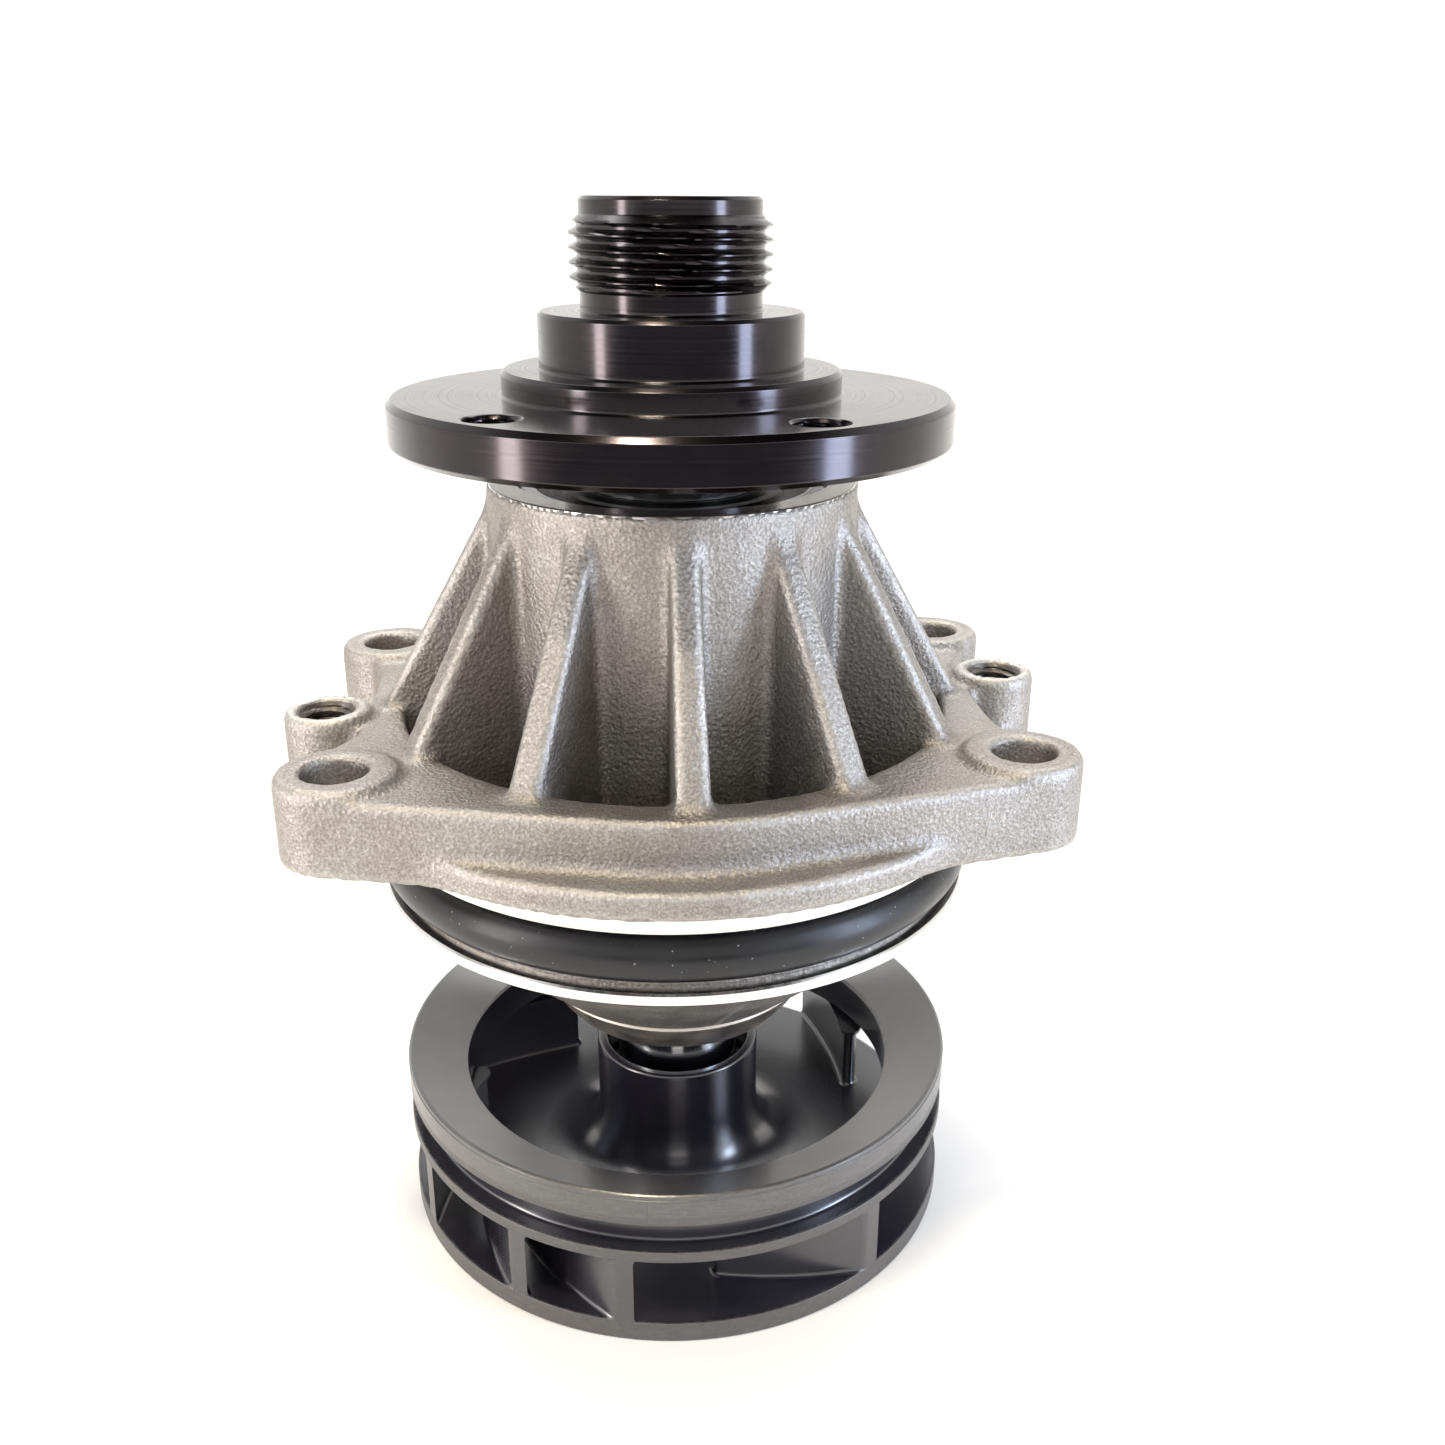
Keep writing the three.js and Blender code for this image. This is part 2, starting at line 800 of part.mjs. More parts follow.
function housingGroup() {
  const group = new THREE.Group();
  const { bottom, top } = BEARING;
  group.add(mesh("housing", housing(), CAST_ALUMINIUM));
  group.add(mesh("pilot_o_ring", pilotRing(), BLACK_RUBBER));
  group.add(mesh("bearing_outer_ring", bearingOuterRing(), BEARING_STEEL));
  group.add(mesh("bearing_seal_pump_side", bearingSeal(bottom + 0.6, bottom + 2.6), BLACK_RUBBER));
  group.add(mesh("bearing_seal_pulley_side", bearingSeal(top - 0.6, top - 2.6), BLACK_RUBBER));
  group.add(mesh("seal_case", sealCase(), STAINLESS));
  group.add(mesh("seal_bellows", sealBellows(), BLACK_RUBBER));
  group.add(mesh("seal_spring", sealSpring(), SPRING_STEEL));
  group.add(mesh("seal_spring_washer", sealSpringWasher(), STAINLESS));
  group.add(mesh("seal_carbon_ring", sealCarbonRing(), CARBON));
  return group;
}

function rotorGroup() {
  const group = new THREE.Group();
  group.add(mesh("pulley_hub", pulleyHub(), BLACK_STEEL));
  group.add(mesh("bearing_shaft", bearingShaft(), GROUND_STEEL));
  group.add(mesh("seal_sleeve", sealSleeve(), STAINLESS));
  group.add(mesh("seal_seat_cup", sealSeatCup(), BLACK_RUBBER));
  group.add(mesh("seal_seat_ring", sealSeatRing(), CERAMIC));
  group.add(mesh("impeller", impeller(), MOULDED_COMPOSITE));
  group.add(mesh("impeller_insert", impellerInsert(), GROUND_STEEL));
  return group;
}

function ballRowGroup() {
  const group = new THREE.Group();
  group.add(mesh("ball_cage", ballCage(), CAGE_NYLON));
  for (let i = 0; i < BALLS; i++) group.add(mesh(`ball_${i + 1}`, ball(i), BEARING_STEEL));
  return group;
}

function rollerRowGroup() {
  const group = new THREE.Group();
  group.add(mesh("roller_cage", rollerCage(), CAGE_NYLON));
  for (let i = 0; i < ROLLERS; i++) group.add(mesh(`roller_${i + 1}`, roller(i), BEARING_STEEL));
  return group;
}

const pump = new THREE.Group();
pump.add(housingGroup());
pump.add(rotorGroup());
pump.add(ballRowGroup());
pump.add(rollerRowGroup());

export default pump;
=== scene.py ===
"""An engine coolant pump: ribbed cast housing, threaded drive hub and closed impeller."""

import logging
import math
from dataclasses import dataclass
from enum import Enum
from typing import Iterable, Sequence

import bmesh
import bpy
import numpy as np
from mathutils import Matrix, Vector
from numpy.typing import NDArray


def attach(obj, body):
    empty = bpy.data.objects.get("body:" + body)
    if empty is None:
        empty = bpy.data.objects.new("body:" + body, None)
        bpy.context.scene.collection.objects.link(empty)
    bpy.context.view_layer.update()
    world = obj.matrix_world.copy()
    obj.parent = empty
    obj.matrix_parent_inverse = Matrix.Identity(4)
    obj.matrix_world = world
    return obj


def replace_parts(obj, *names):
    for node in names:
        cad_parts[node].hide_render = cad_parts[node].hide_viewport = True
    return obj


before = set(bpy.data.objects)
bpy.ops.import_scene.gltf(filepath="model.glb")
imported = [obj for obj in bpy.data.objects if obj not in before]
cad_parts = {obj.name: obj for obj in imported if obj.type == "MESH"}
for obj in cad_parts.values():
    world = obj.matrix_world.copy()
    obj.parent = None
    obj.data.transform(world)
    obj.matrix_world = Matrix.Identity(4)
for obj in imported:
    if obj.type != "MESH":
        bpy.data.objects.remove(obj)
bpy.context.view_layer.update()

LOG = logging.getLogger("pump")
Array = NDArray[np.float64]
Index = NDArray[np.int64]
Socket = bpy.types.NodeSocket
Material = bpy.types.Material
# Shapes are worked out in millimetres, with heights over the pump's base, and placed in metres.
MM = 0.001
# Points of neighbouring surfaces that lie this close, in metres, become one.
SEAM = 2e-6
TURN = 2.0 * math.pi


class Body(Enum):
    """The rigid bodies that the new pieces ride on."""

    HOUSING = "pump_housing"
    ROTOR = "rotor"
    BALL_ROW = "ball_row"


# Surfaces --------------------------------------------------------------------


@dataclass(frozen=True)
class Shell:
    """A surface: points in millimetres and the quads that join them."""

    points: Array
    quads: Index

    def moved(self, x: float, y: float, z: float = 0.0) -> "Shell":
        """The same surface shifted by x, y and z."""
        return Shell(self.points + np.array([x, y, z]), self.quads)

    def spun(self, degrees: float) -> "Shell":
        """The same surface turned about the pump's axis."""
        a = math.radians(degrees)
        turn = np.array([[math.cos(a), -math.sin(a), 0], [math.sin(a), math.cos(a), 0], [0, 0, 1]])
        return Shell(self.points @ turn.T, self.quads)


def together(shells: Iterable[Shell]) -> Shell:
    """Several surfaces as one list of points and quads."""
    shells = list(shells)
    starts = np.cumsum([0] + [len(s.points) for s in shells[:-1]])
    points = np.vstack([s.points for s in shells])
    return Shell(points, np.vstack([s.quads + start for s, start in zip(shells, starts)]))


def grid_quads(rows: int, columns: int, wrap_rows: bool, wrap_columns: bool) -> Index:
    """The quads between neighbours on a grid of points.

    Args:
        rows: number of rows, the slow index.
        columns: number of points in a row.
        wrap_rows: whether the last row joins the first.
        wrap_columns: whether each row closes on itself.

    Returns:
        One line of four point numbers for each quad.
    """
    r = np.arange(rows if wrap_rows else rows - 1)[:, None]
    c = np.arange(columns if wrap_columns else columns - 1)[None, :]
    r2, c2 = (r + 1) % rows, (c + 1) % columns
    corners = (r * columns + c, r * columns + c2, r2 * columns + c2, r2 * columns + c)
    return np.stack(np.broadcast_arrays(*corners), axis=-1).reshape(-1, 4)


def grid_shell(points: Array, wrap_rows: bool, wrap_columns: bool) -> Shell:
    """The surface through a grid of points with the shape rows x columns x 3."""
    rows, columns = points.shape[:2]
    return Shell(points.reshape(-1, 3), grid_quads(rows, columns, wrap_rows, wrap_columns))


def softened(corners: Sequence[tuple[float, float, float]], steps: int = 5) -> Array:
    """A closed outline whose corners are rounded.

    Each corner becomes a parabola (1-t)^2 A + 2t(1-t) C + t^2 B, where C is the corner and
    A and B lie on its two sides, as far out as an arc of the corner's radius would touch them.
    One more point on each side, a little further out, keeps the flat beside it flat in shading.

    Args:
        corners: radius or x, height or y, and rounding radius of each corner, in order.
        steps: spans in each rounded corner.

    Returns:
        The outline's points, two numbers each.
    """
    table = np.array(corners, float)
    p, radius = table[:, :2], table[:, 2]
    before, after = np.roll(p, 1, 0) - p, np.roll(p, -1, 0) - p
    length_b, length_a = np.linalg.norm(before, axis=1), np.linalg.norm(after, axis=1)
    before, after = before / length_b[:, None], after / length_a[:, None]
    half = np.arccos(np.clip((before * after).sum(1), -1, 1)) / 2
    most_reach, lead_length, lead_share = 0.47, 0.15, 0.3
    reach = np.minimum(radius / np.tan(half), most_reach * np.minimum(length_b, length_a))
    spare_b = length_b - reach - np.roll(reach, 1)
    spare_a = length_a - reach - np.roll(reach, -1)
    start, end = p + before * reach[:, None], p + after * reach[:, None]
    t = np.linspace(0, 1, steps + 1)[None, :, None]
    curve = (1 - t) ** 2 * start[:, None] + 2 * t * (1 - t) * p[:, None] + t**2 * end[:, None]
    lead = start + before * np.minimum(lead_length, lead_share * spare_b)[:, None]
    tail = end + after * np.minimum(lead_length, lead_share * spare_a)[:, None]
    return np.concatenate([lead[:, None], curve, tail[:, None]], axis=1).reshape(-1, 2)


def turned(outline: Array, columns: int, closed: bool = True) -> Shell:
    """A surface of revolution: each outline point (r, z) goes round as (r cos a, r sin a, z)."""
    angle = np.linspace(0, TURN, columns, endpoint=False)
    r, z = outline[:, :1], outline[:, 1:]
    grid = np.stack([r * np.cos(angle), r * np.sin(angle), z + 0 * angle], axis=-1)
    return grid_shell(grid, closed, True)


def thread_wave(phase: Array) -> Array:
    """The height of a vee thread, 0 at the root and 1 at the crest.

    A triangle wave 1 - |2 frac(phase) - 1| is stretched and clipped, so that the crest is an
    eighth of the pitch wide and the root a quarter.
    """
    root, crest = 0.25, 1.0 - 0.125
    triangle = 1.0 - np.abs(2.0 * (phase % 1.0) - 1.0)
    return np.clip((triangle - root) / (crest - root), 0.0, 1.0)


# Finishes --------------------------------------------------------------------


def linear(colour: str) -> tuple[float, float, float, float]:
    """An sRGB hex colour such as "#a0b0c0" as linear red, green, blue and 1."""
    parts = [int(colour[i : i + 2], 16) / 255 for i in (1, 3, 5)]
    made = [c / 12.92 if c <= 0.04045 else ((c + 0.055) / 1.055) ** 2.4 for c in parts]
    return (made[0], made[1], made[2], 1.0)


@dataclass
class Recipe:
    """A material's node tree while it is being put together."""

    name: str

    def __post_init__(self) -> None:
        """Makes the material, with its shader and its output."""
        self.material = bpy.data.materials.new(self.name)
        self.material.use_nodes = True
        self.tree = self.material.node_tree
        self.shader = self.tree.nodes["Principled BSDF"]
        self.place = self.node("ShaderNodeTexCoord").outputs["Object"]

    def node(self, kind: str, inputs: dict | None = None, **settings: object) -> bpy.types.Node:
        """Adds a node.

        Args:
            kind: the node's type.
            inputs: socket name or number to a value, or to the output that feeds it.
            settings: attributes of the node.

        Returns:
            The new node.
        """
        made = self.tree.nodes.new(kind)
        for key, value in settings.items():
            setattr(made, key, value)
        for key, value in (inputs or {}).items():
            socket = made.inputs[key]
            if isinstance(value, Socket):
                self.tree.links.new(value, socket)
            else:
                socket.default_value = value
        return made

    def noise(self, millimetres: float, detail: float = 2.0, **inputs: float) -> Socket:
        """A noise whose blotches are about as wide as the given length."""
        settings = {"Vector": self.place, "Scale": 1 / (millimetres * MM), "Detail": detail}
        return self.node("ShaderNodeTexNoise", settings | inputs).outputs[0]

    def ramp(self, value: Socket, stops: Sequence[tuple[float, str]]) -> Socket:
        """Colours along a value, each stop a position and a hex colour."""
        made = self.node("ShaderNodeValToRGB", {"Fac": value})
        band = made.color_ramp
        while len(band.elements) < len(stops):
            band.elements.new(0.5)
        for element, (position, colour) in zip(band.elements, stops):
            element.position = position
            element.color = linear(colour)
        return made.outputs["Color"]

    def span(self, value: Socket, source: tuple, target: tuple) -> Socket:
        """A value carried from one range to another, and held at its ends."""
        inputs = {0: value, 1: source[0], 2: source[1], 3: target[0], 4: target[1]}
        return self.node("ShaderNodeMapRange", inputs, clamp=True).outputs[0]

    def math(self, operation: str, *values: object) -> Socket:
        """One step of arithmetic on sockets or numbers."""
        return self.node("ShaderNodeMath", dict(enumerate(values)), operation=operation).outputs[0]

    def blend(self, share: object, first: object, second: object) -> Socket:
        """A colour mixed from two by a share from 0 to 1."""
        inputs = {"Factor": share, "A": first, "B": second}
        made = self.node("ShaderNodeMix", data_type="RGBA")
        for socket in made.inputs:
            if socket.enabled and socket.name in inputs:
                value = inputs[socket.name]
                if isinstance(value, Socket):
                    self.tree.links.new(value, socket)
                else:
                    socket.default_value = value
        return next(s for s in made.outputs if s.enabled)

    def radius(self) -> Socket:
        """The distance from the pump's axis, in metres."""
        flat = self.node("ShaderNodeVectorMath", {0: self.place, 1: (1, 1, 0)}, operation="MULTIPLY")
        length = self.node("ShaderNodeVectorMath", {0: flat.outputs[0]}, operation="LENGTH")
        return length.outputs["Value"]

    def height(self) -> Socket:
        """The height over the pump's base, in metres."""
        return self.node("ShaderNodeSeparateXYZ", {0: self.place}).outputs["Z"]

    def tool_marks(self, feed: float, seed: float = 0.0) -> Socket:
        """Rings left by a turning tool: noise of radius plus height, one ring for each feed."""
        along = self.math("ADD", self.radius(), self.height())
        line = self.math("ADD", self.math("MULTIPLY", along, 1 / (feed * MM)), seed)
        return self.node("ShaderNodeTexNoise", {"W": line, "Scale": 1.0, "Detail": 3.0},
                         noise_dimensions="1D").outputs[0]

    def bump(self, height: Socket, depth: float, below: object = None) -> Socket:
        """Relief of the given depth in millimetres, on top of another bump's normal."""
        inputs = {"Height": height, "Distance": depth * MM, "Strength": 1.0}
        if below is not None:
            inputs["Normal"] = below
        return self.node("ShaderNodeBump", inputs).outputs[0]

    def finish(self, **sockets: object) -> Material:
        """Sets the shader's sockets, spaces written as underscores, and returns the material."""
        for key, value in sockets.items():
            socket = self.shader.inputs[key.replace("_", " ")]
            if isinstance(value, Socket):
                self.tree.links.new(value, socket)
            else:
                socket.default_value = value
        return self.material


@dataclass(frozen=True)
class ShotBlastedAluminium:
    """Sand-cast aluminium, shot blasted: fine glittering dimples, and a painted highlight on every edge.

    Real dimples are about 0.15 mm wide. They are drawn nearly twice as coarse, so that they show.
    """

    name: str = "shot_blasted_aluminium"
    grain_mm: float = 0.28
    pit_mm: float = 0.5
    stain_mm: float = 9.0
    cloud_mm: float = 3.2

    def make(self) -> Material:
        """The material: dimples and wider pits, slow warm and cool stains, and a painted highlight on the
        edges.
        """
        r = Recipe(self.name)
        grain = r.noise(self.grain_mm, 3.0, Roughness=0.65)
        cells = {"Vector": r.place, "Scale": 1 / (self.pit_mm * MM)}
        pits = r.node("ShaderNodeTexVoronoi", cells).outputs[0]
        stain = r.noise(self.stain_mm, 3.0)
        cloud = r.noise(self.cloud_mm, 4.0)
        base = r.ramp(stain, [(0.32, "#8a837d"), (0.5, "#9b9691"), (0.68, "#a6a3a0")])
        flecks = r.ramp(grain, [(0.30, "#726c67"), (0.48, "#9c968f"), (0.72, "#cfcbc5")])
        colour = r.blend(0.55, base, flecks)
        # Painted highlight: convex edges, found by pointiness, are lightened towards pale cream.
        edge = r.node("ShaderNodeNewGeometry").outputs["Pointiness"]
        painted_edge_highlight = r.span(edge, (0.515, 0.60), (0.0, 0.55))
        colour = r.blend(painted_edge_highlight, colour, linear("#f0ece6"))
        rough = r.span(cloud, (0.3, 0.7), (0.44, 0.58))
        relief = r.bump(pits, 0.07, r.bump(grain, 0.085))
        return r.finish(Base_Color=colour, Metallic=1.0, Roughness=rough, Normal=relief)


@dataclass(frozen=True)
class TurnedAluminium:
    """Cast aluminium cut on a lathe: a bright mirror with fine concentric tool marks.

    A finishing feed is about 0.12 mm. It is drawn at 0.3 mm, so that the marks show.
    """

    name: str = "turned_aluminium"
    feed_mm: float = 0.3

    def make(self) -> Material:
        """The material: rings of the feed, under a little dust."""
        r = Recipe(self.name)
        marks = r.tool_marks(self.feed_mm)
        dust = r.noise(0.8, 3.0)
        colour = r.ramp(marks, [(0.25, "#c9c6c2"), (0.75, "#ebe9e6")])
        rough = r.span(dust, (0.35, 0.7), (0.16, 0.27))
        relief = r.bump(marks, 0.006)
        return r.finish(Base_Color=colour, Metallic=1.0, Roughness=rough, Normal=relief)


@dataclass(frozen=True)
class BlackenedSteel:
    """Turned steel, hot blackened and oiled: near black, violet-brown, with a clear gloss.

    The feed is drawn at 0.32 mm, coarser than the real one, so that the marks show.
    """

    name: str = "blackened_steel"
    feed_mm: float = 0.32
    chatter_mm: float = 1.7

    def make(self) -> Material:
        """The material: tool marks under the oxide, faint stains, and pale rubbed scratches."""
        r = Recipe(self.name)
        marks = r.tool_marks(self.feed_mm)
        wide = r.tool_marks(self.chatter_mm, 5.0)
        stain = r.noise(7.0, 3.0)
        colour = r.ramp(stain, [(0.3, "#2d292c"), (0.55, "#352f31"), (0.75, "#2f2e33")])
        scratch = r.noise(0.5, 6.0, Distortion=2.5)
        rubbed = r.span(scratch, (0.70, 0.74), (0.0, 0.35))
        colour = r.blend(rubbed, colour, linear("#6b625f"))
        rough = r.span(r.math("ADD", marks, r.math("MULTIPLY", stain, 0.6)), (0.5, 1.1), (0.14, 0.26))
        relief = r.bump(marks, 0.0055, r.bump(wide, 0.006))
        return r.finish(Base_Color=colour, Metallic=1.0, Roughness=rough, Normal=relief,
                        Coat_Weight=0.45, Coat_Roughness=0.13)


@dataclass(frozen=True)
class BlackRubber:
    """Moulded nitrile rubber: soft grey sheen, moulding marks and a few specks of dust."""

    name: str = "nitrile_rubber"
    peel_mm: float = 0.5
    smear_mm: float = 6.0
    dust_mm: float = 0.45

    def make(self) -> Material:
        """The material: fine orange peel and slow smears, with sparse specks of dust."""
        r = Recipe(self.name)
        peel = r.noise(self.peel_mm, 3.0)
        smear = r.noise(self.smear_mm, 3.0)
        dust = r.noise(self.dust_mm, 1.0)
        speck = r.span(dust, (0.76, 0.79), (0.0, 0.75))
        colour = r.ramp(smear, [(0.3, "#0b0b0e"), (0.7, "#141418")])
        colour = r.blend(speck, colour, linear("#a6a39d"))
        rough = r.span(smear, (0.3, 0.7), (0.30, 0.42))
        return r.finish(Base_Color=colour, Roughness=rough, Normal=r.bump(peel, 0.012),
                        Specular_IOR_Level=0.5)


@dataclass(frozen=True)
class MouldedComposite:
    """Glass-filled black plastic: glossy as moulded, grey and matt where it was turned to size."""

    name: str = "moulded_composite"
    rim_mm: float = 34.48
    border_mm: float = 0.5
    vanes: int = 7
    vane_heights: tuple[float, float] = (2.45, 11.3)
    ring_height: float = 17.05
    eye_mm: float = 27.0
    fibre_mm: float = 1.6
    grain_mm: float = 0.35
    witness_heights: tuple[float, ...] = (17.2, 19.5)
    witness_from: tuple[float, float] = (16.3, 34.4)
    witness_half: float = 0.06
    witness_offset: float = 2.421

    def witness(self, r: Recipe) -> Socket:
        """Share of the mould's witness lines on the front band: two rings, and an upright per vane."""
        half = self.witness_half * MM
        rings = [r.math("COMPARE", r.height(), z * MM, half) for z in self.witness_heights]
        parts = r.node("ShaderNodeSeparateXYZ", {0: r.place}).outputs
        turns = r.math("MULTIPLY", r.math("ARCTAN2", parts["Y"], parts["X"]), self.vanes / TURN)
        phase = r.math("FRACT", r.math("ADD", turns, self.witness_offset))
        lines = r.math("MAXIMUM", r.math("MAXIMUM", *rings), r.math("COMPARE", phase, 0.5, 0.0030))
        height, radius = self.witness_from
        band = r.math("MULTIPLY", r.math("GREATER_THAN", r.height(), height * MM),
                      r.math("GREATER_THAN", r.radius(), radius * MM))
        return r.math("MULTIPLY", lines, band)

    def make(self) -> Material:
        """The material.

        The turned skin covers what lies outside the rim radius, with a ragged border, and is
        thinner on the vanes' ends. The dished front ring is satin, and the rest is glossy.
        """
        r = Recipe(self.name)
        ragged = r.noise(0.7, 3.0)
        wander = r.math("MULTIPLY", r.math("SUBTRACT", ragged, 0.5), self.border_mm * MM)
        skin = r.span(r.math("ADD", r.radius(), wander),
                      (self.rim_mm * MM - 0.12 * MM, self.rim_mm * MM + 0.05 * MM), (0.0, 1.0))
        level = r.math("ADD", r.height(), wander)
        low, high = self.vane_heights
        lands = r.math("MULTIPLY", r.span(level, (low * MM, (low + 0.3) * MM), (0.0, 0.6)),
                       r.span(level, ((high - 0.3) * MM, high * MM), (1.0, 0.0)))
        skin = r.math("MULTIPLY", skin, r.math("SUBTRACT", 1.0, lands))
        ring = r.span(level, (self.ring_height * MM, (self.ring_height + 0.35) * MM), (0.0, 1.0))
        dish = r.span(r.radius(), (self.eye_mm * MM, (self.eye_mm + 0.6) * MM), (0.0, 1.0))
        ring = r.math("MULTIPLY", ring, dish)
        streak = r.node("ShaderNodeMapping", {"Vector": r.place, "Scale": (1, 1, 9)}).outputs[0]
        fibres = r.node("ShaderNodeTexNoise", {"Vector": streak, "Scale": 1 / (self.fibre_mm * MM),
                                               "Detail": 4.0}).outputs[0]
        grain = r.noise(self.grain_mm, 3.0)
        gloss = r.ramp(r.noise(5.0), [(0.3, "#17151d"), (0.7, "#201e28")])
        satin = r.ramp(r.noise(4.0, 4.0), [(0.3, "#262322"), (0.7, "#35312f")])
        mottle = r.math("ADD", r.math("MULTIPLY", fibres, 0.6), r.math("MULTIPLY", grain, 0.4))
        turned_skin = r.ramp(mottle, [(0.32, "#231f1e"), (0.5, "#332e2c"), (0.68, "#47423f")])
        colour = r.blend(skin, r.blend(ring, gloss, satin), turned_skin)
        colour = r.blend(r.math("MULTIPLY", self.witness(r), 0.55), colour, linear("#1d1918"))
        extra = r.math("ADD", r.math("MULTIPLY", ring, 0.04), r.math("MULTIPLY", skin, 0.28))
        rough = r.math("MINIMUM", r.math("ADD", 0.25, extra), 0.55)
        relief = r.bump(r.math("MULTIPLY", grain, skin), 0.05, r.bump(r.noise(1.4, 2.0), 0.01))
        coat = r.math("ADD", 0.2, r.math("MULTIPLY", ring, 0.5))
        return r.finish(Base_Color=colour, Roughness=rough, Normal=relief, IOR=1.6,
                        Specular_IOR_Level=1.0, Coat_Weight=coat, Coat_Roughness=0.22)


@dataclass(frozen=True)
class Metal:
    """A plain metal part: its colours, polish and the mark that its making left on it."""

    name: str
    dark: str
    light: str
    roughness: float
    feed_mm: float
    mark_mm: float

    def make(self) -> Material:
        """The material: rings of the given feed in colour, polish and relief."""
        r = Recipe(self.name)
        marks = r.tool_marks(self.feed_mm)
        haze = r.noise(3.0, 3.0)
        mix = r.math("ADD", r.math("MULTIPLY", marks, 0.6), r.math("MULTIPLY", haze, 0.4))
        colour = r.ramp(mix, [(0.3, self.dark), (0.7, self.light)])
        rough = r.span(haze, (0.3, 0.7), (self.roughness * 0.8, self.roughness * 1.25))
        return r.finish(Base_Color=colour, Metallic=1.0, Roughness=rough, Normal=r.bump(marks, self.mark_mm))


@dataclass(frozen=True)
class Moulding:
    """A plain non-metal part, such as nylon, carbon or ceramic."""

    name: str
    dark: str
    light: str
    roughness: float
    grain_mm: float
    relief_mm: float

    def make(self) -> Material:
        """The material: a grain of the given width in colour, polish and relief."""
        r = Recipe(self.name)
        grain = r.noise(self.grain_mm, 3.0)
        slow = r.noise(self.grain_mm * 9, 2.0)
        mix = r.math("ADD", r.math("MULTIPLY", grain, 0.5), r.math("MULTIPLY", slow, 0.5))
        colour = r.ramp(mix, [(0.35, self.dark), (0.65, self.light)])
        rough = r.span(slow, (0.3, 0.7), (self.roughness * 0.85, self.roughness * 1.15))
        return r.finish(Base_Color=colour, Roughness=rough, Normal=r.bump(grain, self.relief_mm))


class Finishes:
    """The pump's finishes, each made once."""

    def __init__(self) -> None:
        """Makes every material."""
        self.cast = ShotBlastedAluminium().make()
        self.turned = TurnedAluminium().make()
        self.black = BlackenedSteel().make()
        self.rubber = BlackRubber().make()
        self.composite = MouldedComposite().make()
        # Aluminium as a tap leaves it: torn and dull, and darker than the casting.
        self.tapped = Metal("tapped_aluminium", "#5c5651", "#8a857f", 0.42, 0.3, 0.01).make()
        # Deep-drawn stainless steel: satin, slightly warm, with fine spinning lines.
        self.stainless = Metal("drawn_stainless", "#b3a99e", "#d9d2c8", 0.40, 0.35, 0.006).make()
        # Ground shaft steel, plunge ground to a near mirror.
        self.ground = Metal("ground_steel", "#b0b2b4", "#d2d3d5", 0.14, 0.2, 0.002).make()
        # Through-hardened bearing steel, honed.
        self.bearing = Metal("bearing_steel", "#9b9ea2", "#bfc2c6", 0.16, 0.25, 0.003).make()
        # Hard-drawn spring wire, with die lines.
        self.spring = Metal("spring_wire", "#7f8184", "#a4a6a8", 0.30, 0.3, 0.006).make()
        # Resin-bonded carbon, lapped flat: dull black with a fine grain.
        self.carbon = Moulding("seal_carbon", "#17171a", "#26262a", 0.42, 0.3, 0.006).make()
        # Sintered silicon carbide: dark grey, lapped.
        self.ceramic = Moulding("silicon_carbide", "#2a2d31", "#3d4147", 0.25, 0.4, 0.003).make()
        # Glass-filled nylon, injection moulded: tan, slightly mottled.
        self.nylon = Moulding("cage_nylon", "#5c4f37", "#7d6d50", 0.48, 0.6, 0.012).make()


# Placing ---------------------------------------------------------------------


def put(name: str, shell: Shell, body: Body, material: Material,
        sharp: float = 40.0) -> bpy.types.Object:
    """Makes a piece from a surface, closes its seams and lets it ride on a body.

    Args:
        name: the piece's name.
        shell: its surface.
        body: the body that it rides on.
        material: its finish.
        sharp: an edge that turns more than this many degrees is shaded as an edge.

    Returns:
        The new object.
    """
    mesh = bpy.data.meshes.new(name)
    mesh.from_pydata((shell.points * MM).tolist(), [], shell.quads.tolist())
    work = bmesh.new()
    work.from_mesh(mesh)
    bmesh.ops.remove_doubles(work, verts=work.verts, dist=SEAM)
    bmesh.ops.recalc_face_normals(work, faces=work.faces)
    work.to_mesh(mesh)
    work.free()
    mesh.polygons.foreach_set("use_smooth", np.ones(len(mesh.polygons), bool))
    mesh.set_sharp_from_angle(angle=math.radians(sharp))
    mesh.materials.append(material)
    made = bpy.data.objects.new(name, mesh)
    bpy.context.scene.collection.objects.link(made)
    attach(made, body.value)
    LOG.info("%s: %d faces", name, len(mesh.polygons))
    return made


# Cast housing ----------------------------------------------------------------


def smooth_min(a: Array, b: Array, k: float) -> Array:
    """The smaller of two distances, with a fillet of about k: min(a, b) - h^2 k / 4."""
    h = np.maximum(k - np.abs(a - b), 0.0) / k
    return np.minimum(a, b) - h * h * k / 4.0


def rounded_max(a: Array, b: Array, radius: float) -> Array:
    """The overlap of two solids, with the outer edge between them rounded to a radius."""
    outer = np.hypot(np.maximum(a + radius, 0.0), np.maximum(b + radius, 0.0))
    return outer + np.minimum(np.maximum(a, b) + radius, 0.0) - radius


def polygon_distance(x: Array, y: Array, corners: Array) -> Array:
    """The distance to a polygon's edge, negative inside.

    The distance is the least over all edges, and the sign flips at each edge that a ray
    towards +x crosses.
    """
    least = np.full(np.broadcast(x, y).shape, np.inf)
    sign = np.ones_like(least)
    for a, b in zip(corners, np.roll(corners, 1, 0)):
        edge = b - a
        wx, wy = x - a[0], y - a[1]
        t = np.clip((wx * edge[0] + wy * edge[1]) / (edge @ edge), 0, 1)
        least = np.minimum(least, (wx - edge[0] * t) ** 2 + (wy - edge[1] * t) ** 2)
        above, rising = y >= a[1], y < b[1]
        left = edge[0] * wy > edge[1] * wx
        flip = (above & rising & left) | (~above & ~rising & ~left)
        sign = np.where(flip, -sign, sign)
    return sign * np.sqrt(least)


